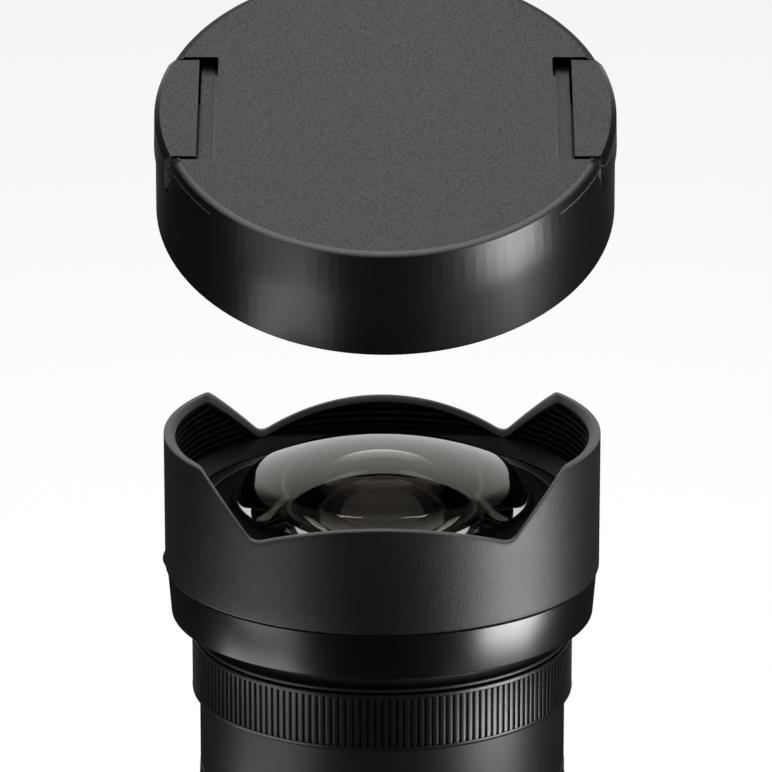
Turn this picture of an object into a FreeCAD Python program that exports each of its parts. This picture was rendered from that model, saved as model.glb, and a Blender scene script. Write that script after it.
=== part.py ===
import FreeCAD, Part
import math
import os

# Wide-angle zoom lens with a built-in petal hood, and its slip-on cap taken off and held above it.
# Sizes are millimetres. The origin is the centre of the bayonet's flange face, +Z is the optical
# axis towards the subject, and the camera's top is towards -X, so the long petals stand at +X and -X.

# Fits that the pieces share
running_gap = 0.3
seat_gap = 0.05
rod_fit = 0.05
follower_fit = 0.08
slot_end_relief = 0.01

# Heights of the outer sections, one above the other from the flange face
mount_plate_thickness = 2.5
rear_barrel_height = 18.2
zoom_ring_height = 26.6
control_height = 15.1
focus_ring_height = 11.9
collar_height = 4.0
band_height = 10.2
side_petal_height = 28.0

# Outer radii of the outer sections
mount_plate_radius = 29.5
rear_barrel_foot_radius = 32.6
rear_barrel_radius = 36.4
grip_radius = 37.4
zoom_lip_radius = 36.9
control_radius = 36.8
focus_ring_radius = 38.1
band_foot_radius = 41.5
band_top_radius = 42.3
hood_radius = 43.5

# Petal hood
hood_wall = 2.3
crown_height = 21.5
crown_curve = 60.0
flank_top = 35.2
flank_angle = 45.0
notch_rounding = 1.5
tip_rounding = 1.2
rim_chamfer = 1.0
ledge_drop = 2.4
ledge_height = 15.4
panel_margin = 2.2
rib_pitch = 1.35
rib_count = 8
rib_depth = 0.9
rib_crest = 0.35
latch_groove_height = 1.4
latch_groove_drop = 1.4
bump_radius = 1.5
bump_proud = 0.35
sleeve_wall = 1.4
sleeve_length = 20.0
front_bore = 38.0
hood_screw_radius = 1.0
hood_screw_head = 1.7
hood_screw_head_height = 0.75
hood_screw_drop = 3.0
hood_screw_angles = (60, 180, 300)

# Fixed barrel, guide barrel and cam barrel
guide_bore = 27.3
guide_wall = 1.3
cam_wall = 1.5
main_wall = 1.8
foot_thickness = 1.8
spigot_wall = 1.25
spigot_length = 15.0
front_web = 1.8
front_tube_wall = 1.8
focus_ring_wall = 2.0
collar_radius = 37.2
rear_wall = 2.0
control_wall = 1.5
flange_web = 1.5
guide_shoulder_height = 1.5

# Zoom motion
zoom_turn = 60.0
front_travel = 5.0
variator_travel = 12.0
follower_radius = 1.5
key_radius = 1.45
key_drop = 8.0
key_count = 2
variator_pin_height = 49.3
front_pin_height = 74.0
follower_count = 3
follower_angle = 20.0

# Ribs on the two rings
focus_rib_count = 168
focus_rib_depth = 0.5
focus_lip = 0.9
grip_rib_count = 96
grip_rib_depth = 0.6
grip_wall = 1.3
zoom_front_lip = 4.6
zoom_rear_lip = 1.4
comb_height = 4.0
comb_wall = 0.3
comb_rise = 5.2
sensor_angle = 270.0

# Glass of the front group
front_glass_radius = 29.0
front_glass_curve = 37.5
front_glass_apex = 25.4
front_glass_centre = 3.0
front_glass_back_curve = 23.0
front_glass_back_radius = 21.4
second_glass_radius = 20.5
third_glass_radius = 14.5
mask_radius = 34.7
mask_height = 3.4
front_tail_low = 71.5

# Glass behind the front group
variator_low = 44.6
variator_glass_radius = 14.5
variator_rear_radius = 13.0
relay_glass_radius = 13.0
relay_seat = 12.0
rear_glass_radius = 14.0
rear_hub_radius = 16.2

# Bayonet mount
throat_tube_radius = 21.8
throat_tube_wall = 1.2
throat_tube_length = 5.2
claw_radius = 22.95
claw_drop = 2.6
claw_thickness = 1.5
claw_angle = 44.0
claw_count = 3
mount_screw_circle = 26.0
mount_screw_radius = 1.0
screw_head_radius = 1.9
screw_head_height = 1.1
contact_count = 10
contact_pitch = 7.6
contact_radius = 0.75
baffle_height = -1.2
index_radius = 1.3
index_height = 7.7
board_height = 8.0
board_post_circle = 28.5
board_post_angles = (60, 180, 300)

# Iris
blade_count = 7
iris_window = 11.2
blade_inner = 11.5
blade_outer = 17.5
blade_sweep = 105.0
blade_thickness = 0.2
blade_pitch = 0.32
blade_pivot_circle = 20.0
blade_arm = 5.0
blade_pin_radius = 0.6
iris_ring_turn = 35.0
blade_turn = 26.0
iris_wall_inner = 24.6
iris_low = 37.0
iris_top = 41.9
drive_low = 40.4
drive_top = 41.6

# Focus group
focus_travel = 4.0
focus_cell_radius = 17.0
rod_radius = 1.0
rod_circle = 20.8
rod_angles = (90, 270)
rod_low = 17.6
focus_low = 24.0
focus_cell_height = 5.0
focus_glass_radius = 12.0
coil_inner = 18.9
motor_outer = 25.0

# Controls on the barrel
button_radius = 4.3
button_travel = 0.8
button_angle = 90.0
switch_angle = 124.0
switch_travel = 4.0
switch_width = 4.4
switch_length = 4.4

# Cap, in its own frame: the rim lies at height 0 and the face at cap_height
cap_radius = 45.8
cap_height = 24.2
cap_depth = 15.0
cap_wall = 2.0
cap_top = 1.8
cap_bevel = 1.3
pad_inset = 7.6
pad_half_length = 14.8
pad_height = 8.6
pad_proud = 0.3
pocket_width = 3.6
pocket_depth = 2.5
pinch_travel = 3.0
slide_low = 16.5
slide_thickness = 1.5
slide_half = 9.0
slide_inner = 18.0
hook_low = 11.9
hook_inset = 6.8
hook_reach = 2.7
hook_half = 4.5
rail_low = 16.4
spring_root = 4.5
spring_radius = 1.7
spring_wire = 0.3
spring_lift = 1.4
inner_plate_top = 16.2
shield_wall = 1.4
cap_post_circle = 30.0
cap_post_angles = (50, 130, 230, 310)
cap_lift = 70.1
cap_back = 20.2
cap_side = 0.65
cap_tilt = 24.7

# Levels along the axis
z_rear_top = mount_plate_thickness + rear_barrel_height
z_zoom_bottom = z_rear_top + running_gap
z_zoom_top = z_zoom_bottom + zoom_ring_height
z_control_bottom = z_zoom_top + running_gap
z_control_top = z_control_bottom + control_height
z_focus_bottom = z_control_top + running_gap
z_focus_top = z_focus_bottom + focus_ring_height
z_band_bottom = z_focus_top + collar_height
z_seam = z_band_bottom + band_height
z_tip = z_seam + side_petal_height
z_crown = z_seam + crown_height
control_middle = (z_control_bottom + z_control_top) / 2
switch_low = control_middle - (switch_length + switch_travel) / 2
hood_screw_height = z_seam - hood_screw_drop
key_height = z_zoom_top - key_drop
sensor_height = z_focus_bottom + comb_rise

# Radii that follow from the stack of barrels
guide_outer = guide_bore + guide_wall
cam_inner = guide_outer + running_gap
cam_outer = cam_inner + cam_wall
main_inner = cam_outer + running_gap
main_outer = main_inner + main_wall
zoom_bore = main_outer + running_gap
front_tube_outer = focus_ring_radius - focus_ring_wall - running_gap
front_tube_inner = front_tube_outer - front_tube_wall
control_bore = control_radius - control_wall
spigot_inner = front_bore + sleeve_wall + seat_gap
spigot_outer = spigot_inner + spigot_wall
hood_inner = hood_radius - hood_wall
rear_bore = rear_barrel_radius - rear_wall - 1.2
pad_chord = cap_radius - pad_inset
hook_inner = cap_radius - hook_inset
hook_nib = hook_inner + hook_reach
inner_plate_chord = cap_radius - shield_wall - pinch_travel - 0.5

UP = FreeCAD.Vector(0, 0, 1)
CENTRE = FreeCAD.Vector(0, 0, 0)


def outline(points, lift=lambda a, b: FreeCAD.Vector(a, 0, b)):
    """Closed wire through (a, b) points; a point (a, b, r) is rounded by an arc of radius r."""
    corners = []
    count = len(points)
    for index, point in enumerate(points):
        here = FreeCAD.Vector(point[0], point[1], 0)
        if len(point) == 2:
            corners.append((here, None, here))
            continue
        before = points[index - 1]
        after = points[(index + 1) % count]
        to_before = (FreeCAD.Vector(before[0], before[1], 0) - here).normalize()
        to_after = (FreeCAD.Vector(after[0], after[1], 0) - here).normalize()
        half = math.acos(max(-1.0, min(1.0, to_before.dot(to_after)))) / 2
        middle = (to_before + to_after).normalize()
        reach = point[2] / math.tan(half)
        nearest = here + middle * (point[2] / math.sin(half) - point[2])
        corners.append((here + to_before * reach, nearest, here + to_after * reach))
    edges = []
    for index, (start, nearest, end) in enumerate(corners):
        if nearest is not None:
            arc = Part.Arc(lift(start.x, start.y), lift(nearest.x, nearest.y), lift(end.x, end.y))
            edges.append(arc.toShape())
        following = corners[(index + 1) % count][0]
        if (following - end).Length > 1e-6:
            edges.append(Part.LineSegment(lift(end.x, end.y), lift(following.x, following.y)).toShape())
    return Part.Wire(edges)


def turned(points):
    """Solid of revolution about the axis from (radius, height) points."""
    return Part.Face(outline(points)).revolve(CENTRE, UP, 360)


def plate(points, bottom, top):
    """Flat plate with a (x, y) outline between two heights."""
    wire = outline(points, lambda a, b: FreeCAD.Vector(a, b, bottom))
    return Part.Face(wire).extrude(FreeCAD.Vector(0, 0, top - bottom))


def tube(outer, inner, bottom, top):
    return turned([(inner, bottom), (outer, bottom), (outer, top), (inner, top)])


def disc(radius, bottom, top, x=0.0, y=0.0):
    return Part.makeCylinder(radius, top - bottom, FreeCAD.Vector(x, y, bottom))


def block(x0, x1, half_width, z0, z1):
    """Box from x0 to x1, centred on the XZ plane."""
    return Part.makeBox(x1 - x0, 2 * half_width, z1 - z0, FreeCAD.Vector(x0, -half_width, z0))


def spun(shape, angle):
    copy = shape.copy()
    copy.rotate(CENTRE, UP, angle)
    return copy


def ring_of(shape, count, first=0.0):
    """Copies of a shape, evenly spaced round the axis."""
    return [spun(shape, first + 360.0 * index / count) for index in range(count)]


def cross_pin(radius, inner, outer, angle, height):
    """Round pin or hole that points away from the axis."""
    pin = Part.makeCylinder(radius, outer - inner, FreeCAD.Vector(inner, 0, height), FreeCAD.Vector(1, 0, 0))
    return spun(pin, angle)


def sector(inner, outer, bottom, top, start, end):
    """Part of a tube between two angles."""
    section = outline([(inner, bottom), (outer, bottom), (outer, top), (inner, top)])
    return spun(Part.Face(section).revolve(CENTRE, UP, end - start), start)


def straight_slot(half_width, inner, outer, angle, low, high):
    """Slot with round ends along the axis, cut outwards through a wall."""
    slot = spun(block(inner, outer, half_width, low, high), angle)
    slot = slot.fuse(cross_pin(half_width, inner, outer, angle, low))
    return slot.fuse(cross_pin(half_width, inner, outer, angle, high))


def turning_slot(half_width, inner, outer, start, end, height):
    """Slot with round ends round the axis, cut outwards through a wall."""
    slot = sector(inner, outer, height - half_width, height + half_width, start, end)
    slot = slot.fuse(cross_pin(half_width, inner, outer, start, height))
    return slot.fuse(cross_pin(half_width, inner, outer, end, height))


def helical_slot(half_width, inner, outer, angle, low, high, turn):
    """Slot that climbs from low to high while it turns, ending at the angle given.

    A rectangle square to the path is swept along a helix of the mean radius, and the round ends stand
    out past its walls by a small relief."""
    middle = (inner + outer) / 2
    climb = high - low
    slope = math.atan2(climb, middle * math.radians(abs(turn)))
    pitch = climb * 360.0 / abs(turn)
    path = Part.Wire(Part.makeHelix(pitch, climb, middle).Edges)
    corners = [(inner, -half_width), (outer, -half_width), (outer, half_width), (inner, half_width)]
    section = outline(corners, lambda a, b: FreeCAD.Vector(a, -b * math.sin(slope), b * math.cos(slope)))
    slot = path.makePipeShell([section], True, True)
    if turn < 0:
        slot = slot.mirror(CENTRE, FreeCAD.Vector(0, 1, 0))
    slot.translate(FreeCAD.Vector(0, 0, low))
    end_radius = half_width + slot_end_relief
    slot = slot.fuse(cross_pin(end_radius, inner, outer, 0, low))
    slot = slot.fuse(cross_pin(end_radius, inner, outer, turn, high))
    return spun(slot, angle)


def ribbed_prism(root, crest, count, bottom, top):
    """Prism whose outline has straight-sided ribs between a root and a crest radius."""
    step = 2 * math.pi / count
    points = []
    for index in range(count):
        for share, radius in ((0.0, root), (0.22, crest), (0.66, crest), (0.88, root)):
            turn = (index + share) * step
            points.append((radius * math.cos(turn), radius * math.sin(turn)))
    return plate(points, bottom, top)


def sag(curve, radius):
    """Depth of a spherical surface at a radius; a flat surface has curve 0."""
    if curve == 0:
        return 0.0
    return curve - math.copysign(math.sqrt(curve * curve - radius * radius), curve)


front_seat = (z_seam + front_glass_apex - front_glass_centre
              - sag(front_glass_back_curve, front_glass_back_radius) - seat_gap)


def glass(rim, front_apex, front_curve, back_apex, back_curve, back_radius):
    """Lens element between two spherical surfaces, with a ground flat round a deep back."""
    front_edge = front_apex - sag(front_curve, rim)
    back_edge = back_apex - sag(back_curve, back_radius)
    half_front = rim / 2
    half_back = back_radius / 2
    at = lambda radius, height: FreeCAD.Vector(radius, 0, height)
    edges = [Part.LineSegment(at(0, back_apex), at(0, front_apex)).toShape()]
    front_middle = at(half_front, front_apex - sag(front_curve, half_front))
    edges.append(Part.Arc(at(0, front_apex), front_middle, at(rim, front_edge)).toShape())
    edges.append(Part.LineSegment(at(rim, front_edge), at(rim, back_edge)).toShape())
    if back_radius < rim:
        edges.append(Part.LineSegment(at(rim, back_edge), at(back_radius, back_edge)).toShape())
    if back_curve == 0:
        edges.append(Part.LineSegment(at(back_radius, back_edge), at(0, back_apex)).toShape())
    else:
        back_middle = at(half_back, back_apex - sag(back_curve, half_back))
        edges.append(Part.Arc(at(back_radius, back_edge), back_middle, at(0, back_apex)).toShape())
    return Part.Face(Part.Wire(edges)).revolve(CENTRE, UP, 360)


def save(name, shape):
    """One file for each piece, after checking that every solid is sound."""
    solids = [shape] if isinstance(shape, Part.Solid) else shape.Solids
    if not solids or not all(solid.isValid() and solid.Volume > 0 for solid in solids):
        raise RuntimeError(name + " is not a sound solid")
    whole = solids[0] if len(solids) == 1 else Part.makeCompound(solids)
    whole.exportStep("parts/" + name + ".step")
    print("%-24s %2d solid(s) %10.1f mm3 %5d faces" % (name, len(solids), whole.Volume, len(whole.Faces)))


os.makedirs("parts", exist_ok=True)


# Petal hood: one moulded shell with four petals cut to the picture's corners

def petal_opening(margin):
    """Everything that the petals leave open, grown by a margin into the petals."""
    tip = z_tip - margin
    slope = math.radians(flank_angle)
    side_step = margin * (1 / math.sin(slope) - 1 / math.tan(slope))
    top_half = flank_top + side_step
    foot_half = top_half - (tip - z_seam) / math.tan(slope)
    reach = 2 * hood_radius
    over = 2 * side_petal_height
    round_over = tip_rounding if margin == 0 else 0.4
    points = [(-foot_half, z_seam), (foot_half, z_seam), (top_half, tip, round_over), (reach, tip)]
    points += [(reach, tip + over), (-reach, tip + over), (-reach, tip), (-top_half, tip, round_over)]
    wire = outline(points, lambda a, b: FreeCAD.Vector(a, -reach, b))
    opening = Part.Face(wire).extrude(FreeCAD.Vector(0, 2 * reach, 0))
    crown_centre = FreeCAD.Vector(0, -reach, z_crown - crown_curve)
    crown = Part.makeCylinder(crown_curve - margin, 2 * reach, crown_centre, FreeCAD.Vector(0, 1, 0))
    opening = opening.cut(crown)
    notches = []
    for edge in opening.Edges:
        centre = edge.CenterOfMass
        if abs(centre.y) < 1e-3 and edge.Length > 1.9 * reach and centre.z < tip - 5:
            notches.append(edge)
    return opening.makeFillet(notch_rounding + margin, notches)


def petal_hood():
    ledge_top = z_seam + ledge_height
    ledge_bottom = ledge_top - ledge_drop
    sleeve_bottom = ledge_bottom - sleeve_length
    sleeve_outer = front_bore + sleeve_wall
    socket_top = z_band_bottom + spigot_length + 2 * front_web
    socket_outer = spigot_outer + seat_gap
    hood = turned([
        (hood_radius, z_seam, 0.5), (hood_radius, z_tip), (hood_inner, z_tip), (hood_inner, ledge_top),
        (front_bore, ledge_bottom), (front_bore, sleeve_bottom), (sleeve_outer, sleeve_bottom),
        (sleeve_outer, socket_top), (socket_outer, socket_top), (socket_outer, z_seam)])
    hood = hood.cut(petal_opening(0))
    rim = []
    for edge in hood.Edges:
        on_wall = all(abs(math.hypot(v.X, v.Y) - hood_inner) < 1e-3 for v in edge.Vertexes)
        above = min(v.Z for v in edge.Vertexes) > ledge_top + 0.2
        if on_wall and above and len(edge.Vertexes) == 2:
            rim.append(edge)
    hood = hood.makeChamfer(rim_chamfer, rim)
    grooves = []
    first = ledge_top + 0.3
    for index in range(rib_count):
        low = first + index * rib_pitch
        high = low + rib_pitch - rib_crest
        grooves.append(turned([
            (hood_inner - 1, low), (hood_inner, low), (hood_inner + rib_depth, (low + high) / 2),
            (hood_inner, high), (hood_inner - 1, high)]))
    latch_top = z_tip - latch_groove_drop
    latch_low = latch_top - latch_groove_height
    grooves.append(turned([
        (hood_inner - 1, latch_low), (hood_inner + rib_depth, latch_low), (hood_inner + rib_depth, latch_top),
        (hood_inner - 1, latch_top)]))
    ribs = Part.makeCompound(grooves[:rib_count]).cut(petal_opening(panel_margin))
    latch = grooves[-1].cut(petal_opening(latch_groove_drop))
    hood = hood.cut(ribs).cut(latch)
    bump_height = z_seam + 2 * bump_radius
    bump = cross_pin(bump_radius, hood_inner + 1, hood_radius + bump_proud, 180, bump_height)
    hood = hood.fuse(bump)
    for angle in hood_screw_angles:
        hood = hood.cut(cross_pin(hood_screw_radius + seat_gap, front_bore - 1, sleeve_outer + 1, angle,
                                  hood_screw_height))
    return hood


# Fixed pieces round the glass: band, main barrel, guide barrel, cover of the controls

def trim_band():
    inner = spigot_outer + seat_gap
    return turned([
        (inner, z_band_bottom), (band_foot_radius, z_band_bottom, 0.25), (band_top_radius, z_seam - 0.2, 0.25),
        (inner, z_seam - 0.2)])


def main_barrel():
    """Cast tube that carries everything: foot, zoom bearing, two webs, focus bearing, hood spigot."""
    foot_bottom = z_rear_top - foot_thickness
    foot_outer = rear_barrel_radius - rear_wall - seat_gap
    cover_seat = control_bore - seat_gap
    lip = guide_outer + seat_gap
    web_top = z_band_bottom + 0.6
    web_bottom = web_top - front_web
    spigot_top = z_band_bottom + spigot_length
    barrel = turned([
        (guide_bore, foot_bottom), (foot_outer, foot_bottom), (foot_outer, z_rear_top),
        (main_outer, z_rear_top), (main_outer, z_control_bottom), (cover_seat, z_control_bottom),
        (cover_seat, z_control_bottom + flange_web), (main_outer, z_control_bottom + flange_web),
        (main_outer, z_control_top - flange_web), (cover_seat, z_control_top - flange_web),
        (cover_seat, z_control_top), (front_tube_outer, z_control_top),
        (front_tube_outer, z_focus_top + running_gap), (collar_radius, z_focus_top + running_gap),
        (collar_radius, web_bottom), (spigot_outer, web_bottom), (spigot_outer, spigot_top), (spigot_inner, spigot_top),
        (spigot_inner, web_top), (lip, web_top), (lip, web_bottom), (front_tube_inner, web_bottom),
        (front_tube_inner, z_focus_bottom), (main_inner, z_control_top - flange_web),
        (main_inner, z_rear_top), (guide_bore, z_rear_top)])
    for index in range(key_count):
        start = 360.0 * index / key_count
        slot = turning_slot(key_radius + running_gap, main_inner - 1, main_outer + 1, start, start + zoom_turn,
                            key_height)
        barrel = barrel.cut(slot)
    window = spun(block(front_tube_inner - 2, front_tube_outer + 2, 2.0, sensor_height - 1.5, sensor_height + 1.5),
                  sensor_angle)
    barrel = barrel.cut(window)
    for angle in hood_screw_angles:
        barrel = barrel.cut(cross_pin(hood_screw_radius + seat_gap, spigot_inner - 1, spigot_outer + 1, angle,
                                      hood_screw_height))
        barrel = barrel.cut(cross_pin(hood_screw_head + seat_gap, spigot_outer - hood_screw_head_height,
                                      spigot_outer + 1, angle, hood_screw_height))
    return barrel


def hood_screws():
    """Three radial screws under the band, from the spigot into the hood's sleeve."""
    top = spigot_outer - seat_gap
    head_foot = spigot_outer - hood_screw_head_height + seat_gap
    screw = cross_pin(hood_screw_radius, front_bore + 0.3, head_foot + 0.1, 0, hood_screw_height)
    screw = screw.fuse(cross_pin(hood_screw_head, head_foot, top, 0, hood_screw_height))
    return Part.makeCompound([spun(screw, angle) for angle in hood_screw_angles])


def guide_barrel():
    """Still tube whose straight slots let the followers rise but not turn."""
    top = z_band_bottom + 0.6 - seat_gap
    foot_outer = main_inner - seat_gap
    shoulder_top = key_height - key_radius - running_gap - seat_gap - 0.6
    shoulder_low = shoulder_top - guide_shoulder_height
    barrel = turned([
        (guide_bore, z_rear_top), (foot_outer, z_rear_top), (foot_outer, z_rear_top + 1.5),
        (guide_outer, z_rear_top + 1.5), (guide_outer, shoulder_low), (foot_outer, shoulder_low),
        (foot_outer, shoulder_top), (guide_outer, shoulder_top), (guide_outer, top), (guide_bore, top)])
    half = follower_radius + follower_fit
    for index in range(follower_count):
        angle = follower_angle + 360.0 * index / follower_count
        for low, high in ((variator_pin_height, variator_pin_height + variator_travel),
                          (front_pin_height - front_travel, front_pin_height)):
            barrel = barrel.cut(straight_slot(half, guide_bore - 1, guide_outer + 1, angle, low, high))
    return barrel


def control_cover():
    """Sleeve over the switches, with a round hole for the button and a slot for the slider."""
    cover = turned([
        (control_bore, z_control_bottom), (control_radius, z_control_bottom, 0.3),
        (control_radius, z_control_top, 0.3), (control_bore, z_control_top)])
    cover = cover.cut(cross_pin(button_radius + 0.2, control_bore - 2, control_radius + 2, button_angle,
                                control_middle))
    window = block(control_bore - 2, control_radius + 2, switch_width / 2 + 0.25,
                   switch_low - 0.3, switch_low + switch_length + switch_travel + 0.3)
    return cover.cut(spun(window, switch_angle))


def control_board():
    """Curved board on the main tube, with the button's switch and the slider's contact block soldered on."""
    board = sector(main_outer + seat_gap, main_outer + 0.45, z_control_bottom + flange_web + 0.5,
                   z_control_top - flange_web - 0.5, button_angle - 14, switch_angle + 14)
    tact = block(main_outer + 0.2, main_outer + 0.85, 2.2, control_middle - 2.2, control_middle + 2.2)
    contacts = block(main_outer + 0.2, control_bore - 0.9, 2.4, control_middle - 3.5, control_middle + 3.5)
    return board.fuse(spun(tact, button_angle)).fuse(spun(contacts, switch_angle))


def hold_button():
    """Round button with a flange that keeps it under the cover."""
    flange_top = control_bore - 0.5
    button = cross_pin(button_radius + 0.7, flange_top - 0.5, flange_top, 0, control_middle)
    button = button.fuse(cross_pin(button_radius, flange_top, control_radius + 0.3, 0, control_middle))
    rim = [edge for edge in button.Edges
           if len(edge.Vertexes) == 1 and abs(edge.Vertexes[0].X - control_radius - 0.3) < 1e-3]
    return spun(button.makeFillet(0.4, rim), button_angle)


def mode_switch():
    """Two-position slider: a plate under the cover and a ridged thumb piece in its slot."""
    plate_top = control_bore - 0.35
    middle = switch_low + switch_length / 2
    slider = block(plate_top - 0.5, plate_top, switch_width / 2 + 1.2, middle - 3.1, middle + 3.1)
    slider = slider.fuse(block(plate_top, control_radius + 0.9, switch_width / 2, switch_low,
                               switch_low + switch_length))
    for index in range(3):
        height = switch_low + switch_length * (index + 1) / 4
        slider = slider.cut(block(control_radius + 0.5, control_radius + 2, switch_width, height - 0.25,
                                  height + 0.25))
    return spun(slider, switch_angle)


# Zoom ring, its grip, the cam barrel inside it and the keys that join them

def zoom_ring():
    recess = grip_radius - grip_wall
    grip_low = z_zoom_bottom + zoom_rear_lip
    grip_top = z_zoom_top - zoom_front_lip
    ring = turned([
        (zoom_bore, z_zoom_bottom), (zoom_lip_radius, z_zoom_bottom, 0.4), (zoom_lip_radius, grip_low),
        (recess, grip_low), (recess, grip_top), (zoom_lip_radius, grip_top),
        (zoom_lip_radius, z_zoom_top, 0.3), (zoom_bore, z_zoom_top)])
    for index in range(key_count):
        ring = ring.cut(cross_pin(key_radius + seat_gap, zoom_bore - 1, zoom_lip_radius + 1,
                                  360.0 * index / key_count, key_height))
    return ring


def zoom_grip():
    inner = grip_radius - grip_wall + seat_gap
    low = z_zoom_bottom + zoom_rear_lip + seat_gap
    top = z_zoom_top - zoom_front_lip - seat_gap
    grip = ribbed_prism(grip_radius - grip_rib_depth, grip_radius, grip_rib_count, low, top)
    return grip.cut(disc(inner, low - 1, top + 1))


def zoom_keys():
    """Screws from the zoom ring through the main tube's slots into the cam barrel."""
    key = cross_pin(key_radius, cam_inner + 0.3, grip_radius - grip_wall - 0.3, 0, key_height)
    return Part.makeCompound(ring_of(key, key_count))


def cam_barrel():
    """Turning tube with a helical slot for each follower of the front group and of the variator."""
    low = key_height - key_radius - 0.6
    top = z_band_bottom + 0.6 - front_web - running_gap
    barrel = tube(cam_outer, cam_inner, low, top)
    half = follower_radius + follower_fit
    for index in range(follower_count):
        angle = follower_angle + 360.0 * index / follower_count
        rising = helical_slot(half, cam_inner - 1, cam_outer + 1, angle, variator_pin_height,
                              variator_pin_height + variator_travel, -zoom_turn)
        falling = helical_slot(half, cam_inner - 1, cam_outer + 1, angle - zoom_turn,
                               front_pin_height - front_travel, front_pin_height, zoom_turn)
        barrel = barrel.cut(rising).cut(falling)
    for index in range(key_count):
        barrel = barrel.cut(cross_pin(key_radius + seat_gap, cam_inner - 1, cam_outer + 1,
                                      360.0 * index / key_count, key_height))
    return barrel


# Focus ring by the hood, with the comb that its sensor reads

def focus_ring():
    root = focus_ring_radius - focus_rib_depth
    bore = focus_ring_radius - focus_ring_wall
    low = z_focus_bottom + focus_lip
    top = z_focus_top - focus_lip
    ring = ribbed_prism(root, focus_ring_radius - 0.05, focus_rib_count, low, top)
    rear_lip = turned([(bore - 5, low), (bore - 5, z_focus_bottom), (focus_ring_radius, z_focus_bottom, 0.5),
                       (focus_ring_radius, low)])
    front_lip = turned([(bore - 5, top), (focus_ring_radius, top), (focus_ring_radius, z_focus_top, 0.3),
                        (bore - 5, z_focus_top)])
    ring = ring.fuse(rear_lip).fuse(front_lip)
    ring = ring.cut(disc(bore, z_focus_bottom - 1, z_focus_top + 1))
    groove = tube(bore + comb_wall + seat_gap, bore - 1, sensor_height - comb_height / 2 - seat_gap,
                  sensor_height + comb_height / 2 + seat_gap)
    return ring.cut(groove)


def focus_comb():
    bore = focus_ring_radius - focus_ring_wall
    return tube(bore + comb_wall, bore, sensor_height - comb_height / 2, sensor_height + comb_height / 2)


def focus_sensor():
    """Reflective sensor behind a window in the main barrel, looking out at the comb."""
    outer = front_tube_inner - 0.13
    sensor = block(outer - 2.3, outer, 2.6, sensor_height - 2.4, sensor_height + 2.4)
    nose = block(outer, front_tube_inner + 1.0, 1.6, sensor_height - 1.1, sensor_height + 1.1)
    return spun(sensor.fuse(nose), sensor_angle)


# Rear barrel and bayonet

def rear_barrel():
    low = mount_plate_thickness
    floor = low + 1.8
    foot_bottom = z_rear_top - foot_thickness
    seat = rear_barrel_radius - rear_wall
    barrel = turned([
        (throat_tube_radius + seat_gap, low), (rear_barrel_foot_radius - 0.5, low),
        (rear_barrel_foot_radius, low + 0.8, 0.5), (rear_barrel_radius, low + 10.5, 6.0),
        (rear_barrel_radius, z_rear_top, 0.4), (seat, z_rear_top), (seat, foot_bottom),
        (rear_bore, foot_bottom), (rear_bore, low + 10.8), (rear_barrel_foot_radius - rear_wall, floor + 1.2),
        (rear_barrel_foot_radius - rear_wall, floor), (throat_tube_radius + seat_gap, floor)])
    for angle in board_post_angles:
        barrel = barrel.fuse(spun(disc(1.6, floor, board_height, board_post_circle), angle))
    for screw in ring_of(disc(mount_screw_radius + seat_gap, low - 1, floor + 1, mount_screw_circle), 4, 45):
        barrel = barrel.cut(screw)
    return barrel.cut(cross_pin(index_radius, rear_barrel_radius - 2.7, rear_barrel_radius + 1, 180, index_height))


def mount_plate():
    """Bayonet: flange, throat tube and three claws, with counterbored screw holes."""
    tube_inner = throat_tube_radius - throat_tube_wall
    flange = turned([
        (tube_inner, -throat_tube_length, 0.3), (throat_tube_radius, -throat_tube_length, 0.3),
        (throat_tube_radius, 0), (mount_plate_radius, 0, 0.3), (mount_plate_radius, mount_plate_thickness),
        (throat_tube_radius, mount_plate_thickness), (throat_tube_radius, mount_plate_thickness + 1.6),
        (tube_inner, mount_plate_thickness + 1.6)])
    claw = sector(throat_tube_radius - 0.5, claw_radius, -claw_drop - claw_thickness, -claw_drop, 0, claw_angle)
    for piece in ring_of(claw, claw_count, 100.0):
        flange = flange.fuse(piece)
    hole = disc(mount_screw_radius + seat_gap, -1, mount_plate_thickness + 1, mount_screw_circle)
    hole = hole.fuse(disc(screw_head_radius + seat_gap, -1, screw_head_height + 0.15, mount_screw_circle))
    for piece in ring_of(hole, 4, 45):
        flange = flange.cut(piece)
    return flange


def mount_screws():
    screw = disc(screw_head_radius, 0.1, 0.1 + screw_head_height, mount_screw_circle)
    screw = screw.fuse(disc(mount_screw_radius, 0.1, mount_plate_thickness + 1.8, mount_screw_circle))
    return Part.makeCompound(ring_of(screw, 4, 45))


def mount_gasket():
    """Rubber lip round the flange that presses on the camera."""
    inner = mount_plate_radius + 0.1
    return turned([
        (inner, mount_plate_thickness), (inner, 1.4), (inner + 1.3, 0.3), (inner + 2.0, 0.2),
        (inner + 2.1, 0.6), (inner + 1.7, 1.4), (inner + 1.7, mount_plate_thickness)])


def rear_baffle():
    """Light trap inside the throat with a window of the picture's shape."""
    outer = throat_tube_radius - throat_tube_wall - seat_gap
    baffle = disc(outer, baffle_height, baffle_height + 1.2)
    window = plate([(-9.0, -12.5, 3), (9.0, -12.5, 3), (9.0, 12.5, 3), (-9.0, 12.5, 3)],
                   baffle_height - 1, baffle_height + 2)
    return baffle.cut(window)


def contact_block():
    outer = throat_tube_radius - throat_tube_wall - 0.15
    block_low = -throat_tube_length + 1.0
    body = sector(outer - 4.2, outer, block_low, baffle_height, -46, 46)
    for hole in contact_places(contact_radius + seat_gap, block_low - 1, block_low + 1.0 + seat_gap):
        body = body.cut(hole)
    return body


def contact_places(radius, low, top):
    circle = throat_tube_radius - throat_tube_wall - 0.15 - 2.1
    first = -contact_pitch * (contact_count - 1) / 2
    pin = disc(radius, low, top, circle)
    return [spun(pin, first + contact_pitch * index) for index in range(contact_count)]


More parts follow.
